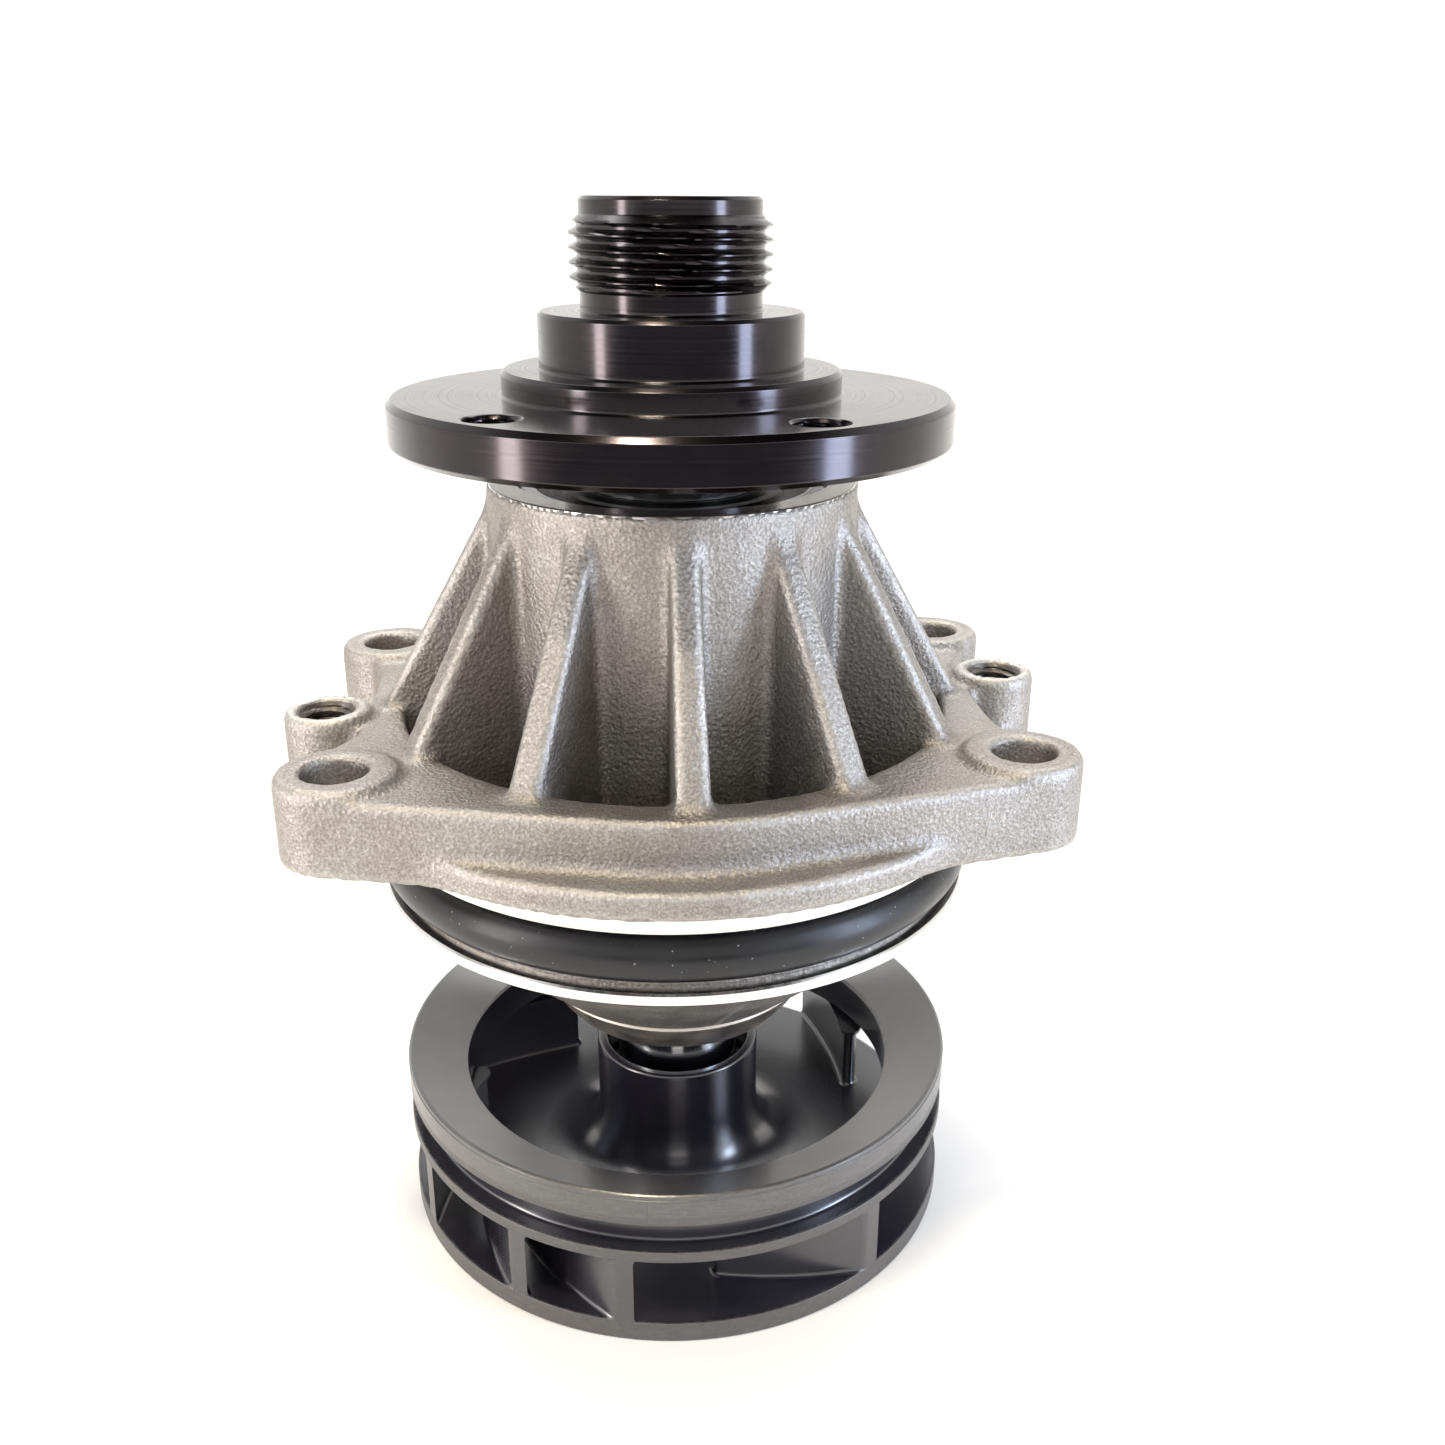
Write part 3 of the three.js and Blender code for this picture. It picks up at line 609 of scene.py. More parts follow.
@dataclass(frozen=True)
class CastBody:
    """The casting: tower, twelve ribs, pocket, plate, four ears and two jacking bosses."""

    tower_radius: float = 20.92
    tower_edge: float = 0.25
    nose_top: float = 91.9
    bore_radius: float = 17.9
    rib_half: float = 1.5
    rib_edge: float = 0.85
    rib_head: float = 21.2
    rib_foot: float = 34.3
    rib_top: float = 88.9
    rib_end: float = 90.5
    rib_count: int = 12
    rib_set_in: float = 0.2
    rib_draft: float = 0.012
    rib_core: float = 18.0
    rib_keel: tuple[float, float] = (29.0, 55.0)
    rib_fillet: float = 1.1
    plate_radius: float = 36.1
    plate_bottom: float = 57.0
    plate_top: float = 65.5
    plate_edge: float = 0.85
    plate_fillet: float = 1.3
    parting_edge: float = 0.15
    skirt_radius: float = 40.28
    skirt_top: float = 59.9
    skirt_edge: float = 0.4
    skirt_fillet: float = 1.5
    pocket_radius: float = 31.7
    pocket_edge: float = 0.5
    pocket_floor: float = 56.5
    pocket_root: float = 46.6
    pocket_fillet: float = 3.0
    ledge_middle: float = 30.0
    ledge_half: float = 3.2
    ledge_edge: float = 0.8
    root_radius: float = 33.2
    root_fillet: float = 2.0
    pilot_clear: float = 34.5
    bottom: float = 45.4
    ear: tuple[float, float] = (36.3, 22.1)
    ear_radius: float = 6.35
    ear_top: float = 66.4
    ear_hole: float = 3.5
    ear_hole_edge: float = 0.5
    jack: tuple[float, float] = (40.2, 4.1)
    jack_radius: float = 4.8
    jack_top: float = 66.7
    jack_hole: float = 3.3
    jack_hole_edge: float = 0.45
    jack_fillet: float = 2.2
    strip_fillet: float = 0.8
    pad_start: float = 0.9
    pad_ramp: float = 1.3
    step: float = 0.671

    def from_ear(self, x: Array, y: Array) -> Array:
        """Distance in plan from the axis of the nearest ear's hole."""
        return np.hypot(np.abs(x) - self.ear[0], np.abs(y) - self.ear[1])

    def from_jack(self, side: int, x: Array, y: Array) -> Array:
        """Distance in plan from the axis of the jacking boss on one side, 1 or -1."""
        return np.hypot(side * x - self.jack[0], side * y - self.jack[1])

    def outline(self, x: Array, y: Array) -> Array:
        """Distance to the plate's outline in plan.

        Flanks run straight from the plate's circle to each ear's round and touch both. Fillets
        lead into the strips between two ears and into the bosses on them.
        """
        ex, ey = np.abs(x), np.abs(y)
        web = np.array([[8.0, 35.2], [37.72, 28.3], [42.2, 22.9], [36.4, 13.8], [30.0, 14.0]])
        ear = self.from_ear(x, y) - self.ear_radius
        found = np.minimum(ear, polygon_distance(ex, ey, web))
        found = np.minimum(np.hypot(x, y) - self.plate_radius, found)
        strip = np.array([[32.6, -19.0], [38.4, -17.0], [36.4, -12.0], [35.9, -4.0], [36.2, 9.6],
                          [37.6, 12.4], [39.4, 16.0], [32.6, 19.0]])
        for side in (1, -1):
            found = smooth_min(found, polygon_distance(side * x, side * y, strip), self.strip_fillet)
            jack = self.from_jack(side, x, y) - self.jack_radius
            found = smooth_min(found, jack, self.jack_fillet)
        return found

    def crown(self, x: Array, y: Array) -> Array:
        """Height of the plate's upper face, with a raised pad on each ear and boss."""
        def ramp(distance: Array) -> Array:
            """A smooth step 3t^2 - 2t^3 from 0 at the pad's foot to 1 on the pad."""
            t = np.clip((self.pad_start - distance) / self.pad_ramp, 0.0, 1.0)
            return t * t * (3.0 - 2.0 * t)

        rise = (self.ear_top - self.plate_top) * ramp(self.from_ear(x, y) - self.ear_radius)
        for side in (1, -1):
            jack = self.from_jack(side, x, y) - self.jack_radius
            rise = np.maximum(rise, (self.jack_top - self.plate_top) * ramp(jack))
        return self.plate_top + rise

    def ribs(self, x: Array, y: Array, z: Array) -> Array:
        """Distance to the ribs: one rib's slanted edge and flanks, folded round the axis."""
        angle = np.arctan2(y, x)
        fold = TURN / self.rib_count
        local = angle - fold * np.round(angle / fold)
        r = np.hypot(x, y)
        u, v = r * np.cos(local), r * np.sin(local)
        run, rise = self.rib_foot - self.rib_head, self.rib_top - self.plate_top
        slant = ((u - self.rib_foot) * rise + (z - self.plate_top) * run) / math.hypot(run, rise)
        edge = np.maximum(slant, u - self.rib_foot + self.rib_set_in)
        taper = self.rib_half + self.rib_draft * (self.rib_top - z)
        return rounded_max(edge, np.abs(v) - taper, self.rib_edge)

    def distance(self, x: Array, y: Array, z: Array) -> Array:
        """Distance from the casting's skin, negative inside the metal, in millimetres.

        Solids are joined by a smooth minimum, which leaves the fillets of a casting, and holes
        are cut by a rounded maximum, which leaves their softened edges.
        """
        r = np.hypot(x, y)
        plate = rounded_max(self.outline(x, y), z - self.crown(x, y), self.plate_edge)
        skirt = rounded_max(r - self.skirt_radius, z - self.skirt_top, self.skirt_edge)
        plate = smooth_min(plate, skirt, self.skirt_fillet)
        plate = rounded_max(plate, self.plate_bottom - z, self.parting_edge)
        plate = rounded_max(plate, self.pocket_radius - r, self.pocket_edge)
        ledge = np.abs(r - self.ledge_middle) - self.ledge_half
        ledge = rounded_max(ledge, z - self.pocket_floor, self.ledge_edge)
        root = np.maximum(r - self.root_radius, z - self.pocket_root)
        tower = rounded_max(r - self.tower_radius, z - self.nose_top, self.tower_edge)
        ribs = np.maximum(np.maximum(self.ribs(x, y, z), self.rib_core - r), z - self.rib_end)
        ribs = np.maximum(ribs, np.minimum(r - self.rib_keel[0], self.rib_keel[1] - z))
        inner = smooth_min(smooth_min(tower, ribs, self.rib_fillet),
                           smooth_min(root, ledge, self.root_fillet), self.pocket_fillet)
        body = smooth_min(inner, plate, self.plate_fillet)
        body = np.maximum(body, self.bottom - z)
        body = np.maximum(body, np.where(r > self.pilot_clear, self.plate_bottom - z, -10.0))
        body = np.maximum(body, self.bore_radius - r)
        body = rounded_max(body, self.ear_hole - self.from_ear(x, y), self.ear_hole_edge)
        for side in (1, -1):
            hole = self.jack_hole - self.from_jack(side, x, y)
            body = rounded_max(body, hole, self.jack_hole_edge)
        return body

    def skin(self) -> Shell:
        """The casting's skin, found on a lattice.

        A lattice cell that the skin passes through gets one point, the mean of the places where
        its edges are crossed. Four cells round a crossed lattice edge make one quad. Newton's
        steps p - f(p) grad f / |grad f|^2 then lay the points on the skin.
        """
        low, high = (-46.0, -42.0, 44.6), (46.0, 42.0, 93.0)
        # A small shift keeps the lattice's planes off the casting's own faces.
        shift = 0.013
        axes = [np.arange(a, b, self.step) + shift for a, b in zip(low, high)]
        x, y, z = np.meshgrid(*axes, indexing="ij", sparse=True)
        field = self.distance(x, y, z)
        inside = field < 0
        shape = np.array(field.shape) - 1
        corners = [(i, j, k) for i in (0, 1) for j in (0, 1) for k in (0, 1)]
        count = sum(inside[i : i + shape[0], j : j + shape[1], k : k + shape[2]].astype(np.int8)
                    for i, j, k in corners)
        cells = np.argwhere((count > 0) & (count < 8))
        number = np.full(tuple(shape), -1, np.int64)
        number[tuple(cells.T)] = np.arange(len(cells))
        total, hits = np.zeros((len(cells), 3)), np.zeros(len(cells))
        for a in corners:
            for axis in range(3):
                if a[axis]:
                    continue
                b = tuple(v + (n == axis) for n, v in enumerate(a))
                fa, fb = field[tuple((cells + a).T)], field[tuple((cells + b).T)]
                crossed = (fa < 0) != (fb < 0)
                t = np.where(crossed, fa / np.where(crossed, fa - fb, 1.0), 0.0)
                spot = np.array(a, float) + t[:, None] * np.eye(3)[axis]
                total += np.where(crossed[:, None], spot, 0.0)
                hits += crossed
        points = np.array([a[0] for a in axes]) + (cells + total / hits[:, None]) * self.step
        quads = [self.lattice_quads(inside, number, axis) for axis in range(3)]
        return Shell(self.laid(points), np.vstack(quads))

    def lattice_quads(self, inside: NDArray, number: Index, axis: int) -> Index:
        """Quads round the lattice edges along one axis that have one end inside."""
        ends = [slice(None)] * 3, [slice(None)] * 3
        ends[0][axis], ends[1][axis] = slice(0, -1), slice(1, None)
        edge = np.argwhere(inside[tuple(ends[0])] != inside[tuple(ends[1])])
        across = [n for n in range(3) if n != axis]
        around = np.zeros((4, 3), int)
        around[:, across[0]] = (0, -1, -1, 0)
        around[:, across[1]] = (0, 0, -1, -1)
        cells = edge[:, None, :] + around[None]
        return number[cells[..., 0], cells[..., 1], cells[..., 2]]

    def laid(self, points: Array) -> Array:
        """The points moved on to the skin by three damped Newton steps."""
        tiny, least_slope, most_move = 0.02, 0.25, 0.3 * self.step
        for _ in range(3):
            x, y, z = points.T
            here = self.distance(x, y, z)
            slope = np.stack([self.distance(x + tiny, y, z) - here, self.distance(x, y + tiny, z) - here,
                              self.distance(x, y, z + tiny) - here], axis=1) / tiny
            size = np.maximum((slope**2).sum(1), least_slope)
            move = np.clip(here / size, -most_move, most_move)
            points = points - move[:, None] * slope
        return points

    def cone(self) -> Shell:
        """The cast cone under the pilot, down to the seat of the shaft seal."""
        corners = [(15.7, 30.06, 0.2), (17.2, 30.06, 0.35), (33.35, 44.5, 0.4), (33.3, 46.5, 0.3),
                   (15.7, 46.5, 0.3)]
        return turned(softened(corners), 180)

    def build(self, finishes: Finishes) -> None:
        """Makes the casting and its cone as one piece in place of the housing."""
        shell = together([self.skin(), self.cone()])
        made = put("housing_casting", shell, Body.HOUSING, finishes.cast, 75)
        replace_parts(made, "housing")


@dataclass(frozen=True)
class TurnedLands:
    """What a lathe and a tap cut in the casting: pilot, groove, nose face and tapped bosses."""

    pilot_radius: float = 35.38
    groove_radius: float = 30.6
    jack: tuple[float, float] = (40.2, 4.1)
    tap_major: float = 3.0
    tap_minor: float = 2.5
    tap_bottom: float = 57.6
    tap_top: float = 65.95
    pitch: float = 1.0
    columns: int = 64

    def pilot(self) -> Shell:
        """The pilot: lower land with a bevelled top, ring groove, and upper land to the face."""
        outer = self.pilot_radius
        corners = [(29.4, 44.47, 0.2), (outer - 0.3, 44.47, 0.08), (outer, 44.77, 0.08),
                   (outer, 45.8, 0.08), (outer - 0.24, 46.04, 0.08), (self.groove_radius, 46.04, 0.5),
                   (self.groove_radius, 52.87, 0.5), (outer - 0.15, 52.87, 0.05), (outer, 53.02, 0.05),
                   (outer, 57.02, 0.05), (33.9, 57.02, 0.1), (33.9, 55.3, 0.1), (29.4, 55.3, 0.1)]
        return turned(softened(corners), 288)

    def nose(self) -> Shell:
        """The turned face of the nose, chamfered into the bearing's bore."""
        corners = [(17.5, 52.9, 0.1), (17.95, 52.9, 0.1), (17.95, 91.0, 0.1), (20.72, 91.0, 0.1),
                   (20.78, 91.8, 0.1), (20.66, 91.95, 0.06), (17.9, 91.95, 0.05), (17.5, 91.55, 0.05)]
        return turned(softened(corners, 3), 240)

    def seal_bore(self) -> Shell:
        """The bores under the bearing: the vent chamber and the seat of the shaft seal."""
        corners = [(15.6, 30.2, 0.1), (16.2, 30.2, 0.1), (16.2, 46.9, 0.1), (18.2, 46.9, 0.1),
                   (18.2, 52.8, 0.1), (14.5, 52.8, 0.2), (14.5, 47.0, 0.2), (15.6, 46.9, 0.2)]
        return turned(softened(corners, 2), 120)

    def tapped_boss(self) -> Shell:
        """A tapped hole: its wall follows a right-hand helix, inside a plain closed jacket."""
        bottom, top, count = self.tap_bottom, self.tap_top, self.columns
        rows = np.arange(bottom, top, 0.1)
        angle = np.linspace(0, TURN, count, endpoint=False)
        wave = thread_wave(rows[:, None] / self.pitch - angle / TURN)
        wall = self.tap_minor + (self.tap_major - self.tap_minor) * wave
        mouth = np.interp(rows, [bottom, 58.0, 65.4, top], [0.55, 0.0, 0.0, 0.45])[:, None]
        wall = np.maximum(wall, self.tap_minor + mouth)
        heights = rows[:, None] + 0 * angle
        jacket = [(3.15, 66.22), (3.6, 66.25), (3.6, 57.4), (3.2, 57.3)]
        wall = np.vstack([wall] + [np.full((1, count), r) for r, _ in jacket])
        heights = np.vstack([heights] + [np.full((1, count), z) for _, z in jacket])
        grid = np.stack([wall * np.cos(angle), wall * np.sin(angle), heights], axis=-1)
        return grid_shell(grid, True, True)

    def build(self, finishes: Finishes) -> None:
        """Makes the turned surfaces as one piece, and the tapped holes as another."""
        boss = self.tapped_boss()
        bosses = [boss.moved(side * self.jack[0], side * self.jack[1]) for side in (1, -1)]
        shell = together([self.pilot(), self.nose(), self.seal_bore()])
        put("housing_turned_lands", shell, Body.HOUSING, finishes.turned, 30)
        put("jack_threads", together(bosses), Body.HOUSING, finishes.tapped, 30)


# Hub -------------------------------------------------------------------------


@dataclass(frozen=True)
class DriveHub:
    """The black turned hub: left-hand fan thread, collars, and a disc with four tapped holes.

    Whole degrees are counted from the start angle, which is midway between two holes.
    """

    thread_major: float = 11.0
    thread_root: float = 10.1
    pitch: float = 1.5
    thread_bottom: float = 112.1
    thread_top: float = 119.9
    inner: float = 19.4
    outer: float = 30.0
    disc_top: float = 101.4
    disc_bottom: float = 96.2
    thread_step: float = 0.13
    tip_radius: float = 9.83
    neck_radius: float = 9.9
    hole_ring: float = 26.5
    hole_mouth: float = 3.15
    tap_minor: float = 2.5
    tap_depth: float = 0.5
    tap_step: float = 0.125
    start: float = -97.5
    hole_offset: int = 37
    half_sector: int = 9
    flat_rows: int = 12
    columns: int = 360

    def lathe(self, outline: Array) -> Shell:
        """Rows of an open outline, turned with one column for each degree from the start angle."""
        return turned(outline, self.columns, False).spun(self.start)

    def fan_thread(self) -> Shell:
        """The fan thread.

        The radius is root + depth * wave(z / pitch + angle / turn), where the plus sign makes the
        helix left-handed, and it is held under a steep cone at either end.
        """
        cone = 1.1
        rows = np.arange(self.thread_bottom, self.thread_top + 0.01, self.thread_step)
        angle = np.linspace(0, TURN, self.columns, endpoint=False)
        wave = thread_wave(rows[:, None] / self.pitch + angle / TURN)
        r = self.thread_root + (self.thread_major - self.thread_root) * wave
        upper = self.tip_radius + cone * np.maximum(self.thread_top - rows, 0.0)
        lower = self.neck_radius + cone * np.maximum(rows - self.thread_bottom, 0.0)
        r = np.minimum(r, np.minimum(upper, lower)[:, None])
        grid = np.stack([r * np.cos(angle), r * np.sin(angle), rows[:, None] + 0 * angle], axis=-1)
        return grid_shell(grid, False, True).spun(self.start)

    def tip(self) -> Shell:
        """The end above the thread, with a drilled centre."""
        return self.lathe(self.open_line([
            (0, 112.8, 0), (1.6, 113.7, 0.05), (1.6, 119.9, 0.05), (3.4, 121.7, 0.08),
            (9.45, 121.7, 0.1), (self.tip_radius, 121.3, 0.1), (self.tip_radius, self.thread_top, 0)]))

    def open_line(self, corners: Sequence[tuple[float, float, float]]) -> Array:
        """A softened outline with both ends left open and sharp."""
        line = softened(corners)
        span = len(line) // len(corners)
        ends = np.array([corners[0][:2], corners[-1][:2]])
        return np.vstack([ends[:1], line[span:-span], ends[1:]])

    def collars(self) -> Shell:
        """The neck, the boss and the collar, down to the disc's top."""
        return self.lathe(self.open_line([
            (self.neck_radius, self.thread_bottom, 0), (self.neck_radius, 110.1, 0.35),
            (14.2, 110.1, 0.08), (14.56, 109.7, 0.12), (14.56, 104.1, 0.3), (18.3, 104.1, 0.08),
            (18.74, 103.66, 0.12), (18.74, self.disc_top, 0.35), (self.inner, self.disc_top, 0)]))

    def rim(self) -> Shell:
        """The disc's chamfered edge."""
        return self.lathe(self.open_line([
            (self.outer, self.disc_top, 0), (30.55, self.disc_top, 0.1), (31.16, 100.75, 0.16),
            (31.16, 96.8, 0.16), (30.55, self.disc_bottom, 0.1), (self.outer, self.disc_bottom, 0)]))

    def foot(self) -> Shell:
        """The underside's short sleeve and the blind bore that is pressed on the shaft."""
        return self.lathe(self.open_line([
            (self.inner, self.disc_bottom, 0), (12.2, self.disc_bottom, 0.8), (12.2, 92.6, 0.4),
            (9.6, 92.6, 0.4), (9.6, 108.2, 0.3), (0, 108.2, 0)]))

    def flat(self, first: int, last: int, height: float) -> Shell:
        """A plain stretch of the disc's face between two whole degrees."""
        angle = np.radians(self.start + np.arange(first, last + 1))
        r = np.linspace(self.inner, self.outer, self.flat_rows)[:, None]
        grid = np.stack([r * np.cos(angle), r * np.sin(angle), height + 0 * r * angle], axis=-1)
        return grid_shell(grid, False, False)

    def hole(self, centre: int) -> Shell:
        """The stretch of disc round a tapped hole.

        Rings run from the stretch's four-sided edge at the top inwards to the countersink, down
        the thread, and out again to the edge at the bottom. Each edge point keeps its own
        direction from the hole's centre on every ring.
        """
        degrees = np.arange(centre - self.half_sector, centre + self.half_sector + 1)
        radii = np.linspace(self.inner, self.outer, self.flat_rows)
        arc, side = len(degrees) - 1, self.flat_rows - 1
        a = np.radians(self.start + np.concatenate([
            degrees[:-1], np.full(side, degrees[-1]), degrees[:0:-1], np.full(side, degrees[0])]))
        r = np.concatenate([np.full(arc, self.inner), radii[:-1], np.full(arc, self.outer), radii[:0:-1]])
        edge = np.stack([r * np.cos(a), r * np.sin(a)], axis=-1)
        middle_angle = math.radians(self.start + centre)
        middle = self.hole_ring * np.array([math.cos(middle_angle), math.sin(middle_angle)])
        away = edge - middle
        reach = np.linalg.norm(away, axis=1)
        way = away / reach[:, None]
        around = np.arctan2(way[:, 1], way[:, 0]) / TURN
        share = np.array([0.0, 0.35, 0.7, 0.94, 1.0])[:, None]
        flat_rings = reach + (self.hole_mouth - reach) * share
        rows = np.arange(self.disc_bottom + 0.05, self.disc_top, self.tap_step)[::-1]
        depth = np.minimum(self.disc_top - rows, rows - self.disc_bottom)[:, None]
        thread = self.tap_minor + self.tap_depth * thread_wave(rows[:, None] - around)
        wall = np.maximum(thread, np.maximum(self.hole_mouth - 0.05 - depth, self.tap_minor))
        size = np.vstack([flat_rings, wall, flat_rings[::-1]])
        faces = [np.full(len(share), height) for height in (self.disc_top, self.disc_bottom)]
        level = np.concatenate([faces[0], rows, faces[1]])
        flat = middle + size[..., None] * way
        grid = np.concatenate([flat, np.broadcast_to(level[:, None, None], size.shape + (1,))], axis=-1)
        return grid_shell(grid, False, True)

    def build(self, finishes: Finishes) -> None:
        """Makes the hub as one closed piece."""
        holes = sorted([self.hole_offset, 180 - self.hole_offset, 180 + self.hole_offset,
                        360 - self.hole_offset])
        shells = [self.tip(), self.fan_thread(), self.collars(), self.rim(), self.foot()]
        shells += [self.hole(centre) for centre in holes]
        for this, following in zip(holes, holes[1:] + [holes[0] + 360]):
            first, last = this + self.half_sector, following - self.half_sector
            shells += [self.flat(first, last, h) for h in (self.disc_top, self.disc_bottom)]
        made = put("drive_hub", together(shells), Body.ROTOR, finishes.black, 30)
        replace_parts(made, "pulley_hub")


# Impeller --------------------------------------------------------------------


@dataclass(frozen=True)
class Impeller:
    """The closed impeller: back disc, hub cup, swept vanes and a grooved, dished front ring.

    The vanes are evenly spaced, with an extra one between two of them. The tips' angles are in
    degrees.
    """

    radius: float = 34.69
    disc_top: float = 2.53
    vane_top: float = 11.21
    lip_top: float = 12.55
    groove_top: float = 16.25
    ring_top: float = 20.2
    eye_radius: float = 27.25
    eye_edge: float = 17.2
    vanes: int = 7
    first_tip: float = 1.4
    extra_tip: float = -123.4
    fillet: float = 0.55
    groove_depth: float = 2.1
    vane_inset: float = 0.012
    overlap: float = 0.4

    def disc(self) -> Shell:
        """The back disc, flared up into the hub, which ends in a cup round the shaft's sleeve."""
        corners = [(8.75, 0.3, 0.1), (12.0, 0.3, 0.1), (12.7, 0.95, 0.1), (30.8, 0.95, 0.2),
                   (31.5, 0.0, 0.1), (self.radius, 0.0, 0.35), (self.radius, self.disc_top, 0.12),
                   (10.49, self.disc_top, 7.6), (10.49, 18.6, 0.5), (9.2, 18.6, 0.3),
                   (9.2, 12.5, 0.1), (8.75, 12.5, 0.1)]
        return turned(softened(corners, 12), 240)

    def shroud(self) -> Shell:
        """The front ring: lip over the vanes, groove, band, and a dished face round the eye."""
        groove = self.radius - self.groove_depth
        corners = [(28.6, self.vane_top, 0.6), (self.radius, self.vane_top, 0.12),
                   (self.radius, self.lip_top, 0.15), (groove, self.lip_top, 0.5),
                   (groove, self.groove_top, 0.5), (self.radius, self.groove_top, 0.15),
                   (self.radius, 19.55, 0.1), (self.radius - 0.1, 19.6, 0.05),
                   (self.radius - 0.12, 20.0, 0.2), (self.radius - 0.45, self.ring_top, 0.2),
                   (self.eye_radius, self.eye_edge, 0.5), (self.eye_radius, 12.4, 0.8)]
        return turned(softened(corners, 6), 288)

    def vane_outline(self) -> Array:
        """A vane in plan with its tip on +x.

        Its two flanks are parabolas from the rim to the leading edge, which a third one rounds.
        """
        def curve(a: Sequence, c: Sequence, b: Sequence, steps: int) -> Array:
            """A parabola from a to b that leaves and arrives along the lines to c."""
            t = np.linspace(0, 1, steps, endpoint=False)[:, None]
            return (1 - t) ** 2 * np.array(a) + 2 * t * (1 - t) * np.array(c) + t**2 * np.array(b)

        rim = self.radius - self.vane_inset
        land = np.radians(np.linspace(-3.6, -0.15, 8))
        tip = rim * np.stack([np.cos(land), np.sin(land)], axis=-1)
        inner, nose = (21.6, -13.9), (22.9, -15.2)
        flank = curve(tip[-1], (29.2, -7.9), inner, 24)
        lead = curve(inner, (21.4, -15.4), nose, 8)
        back = curve(nose, (29.9, -9.6), tip[0], 24)
        return np.vstack([tip[:-1], flank, lead, back])

    def vane(self) -> Shell:
        """A vane, flared by a small fillet where it meets the disc and the ring.

        At height h over the disc the outline moves out by f - sqrt(f^2 - (f - h)^2), and the
        same under the ring.
        """
        plan = self.vane_outline()
        ahead, behind = np.roll(plan, -1, 0), np.roll(plan, 1, 0)
        along = ahead - behind
        out = np.stack([along[:, 1], -along[:, 0]], axis=-1)
        out /= np.linalg.norm(out, axis=1)[:, None]
        if ((plan - plan.mean(0)) * out).sum() < 0:
            out = -out
        f = self.fillet
        near = f * (1 - np.cos(np.linspace(0, math.pi / 2, 5)))
        heights = np.concatenate([[self.disc_top - self.overlap], self.disc_top + near,
                                  self.vane_top - near[::-1], [self.vane_top + self.overlap]])
        gap = np.minimum(np.abs(heights - self.disc_top), np.abs(self.vane_top - heights))
        gap[[0, -1]] = 0
        grow = f - np.sqrt(np.maximum(f * f - np.maximum(f - gap, 0) ** 2, 0))
        flat = plan[None] + grow[:, None, None] * out[None]
        size = np.linalg.norm(flat, axis=-1, keepdims=True)
        flat = flat * np.minimum(1.0, (self.radius - self.vane_inset) / size)
        level = np.broadcast_to(heights[:, None, None], flat.shape[:2] + (1,))
        grid = np.concatenate([flat, level], axis=-1)
        # Both ends are closed by a fan from one point, which lies buried in the disc or the ring.
        centre = np.array([[*plan[25:].mean(0), h] for h in heights[[0, -1]]])
        lids = [np.broadcast_to(c, (1, len(plan), 3)) for c in centre]
        return grid_shell(np.concatenate([lids[0], grid, lids[1]]), False, True)

    def build(self, finishes: Finishes) -> None:
        """Makes the impeller as one piece."""
        tips = [self.first_tip + 360 / self.vanes * i for i in range(self.vanes)] + [self.extra_tip]
        vane = self.vane()
        shells = [self.disc(), self.shroud()] + [vane.spun(tip) for tip in tips]
        made = put("closed_impeller", together(shells), Body.ROTOR,
                   finishes.composite, 35)
        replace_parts(made, "impeller")


# Seals -----------------------------------------------------------------------


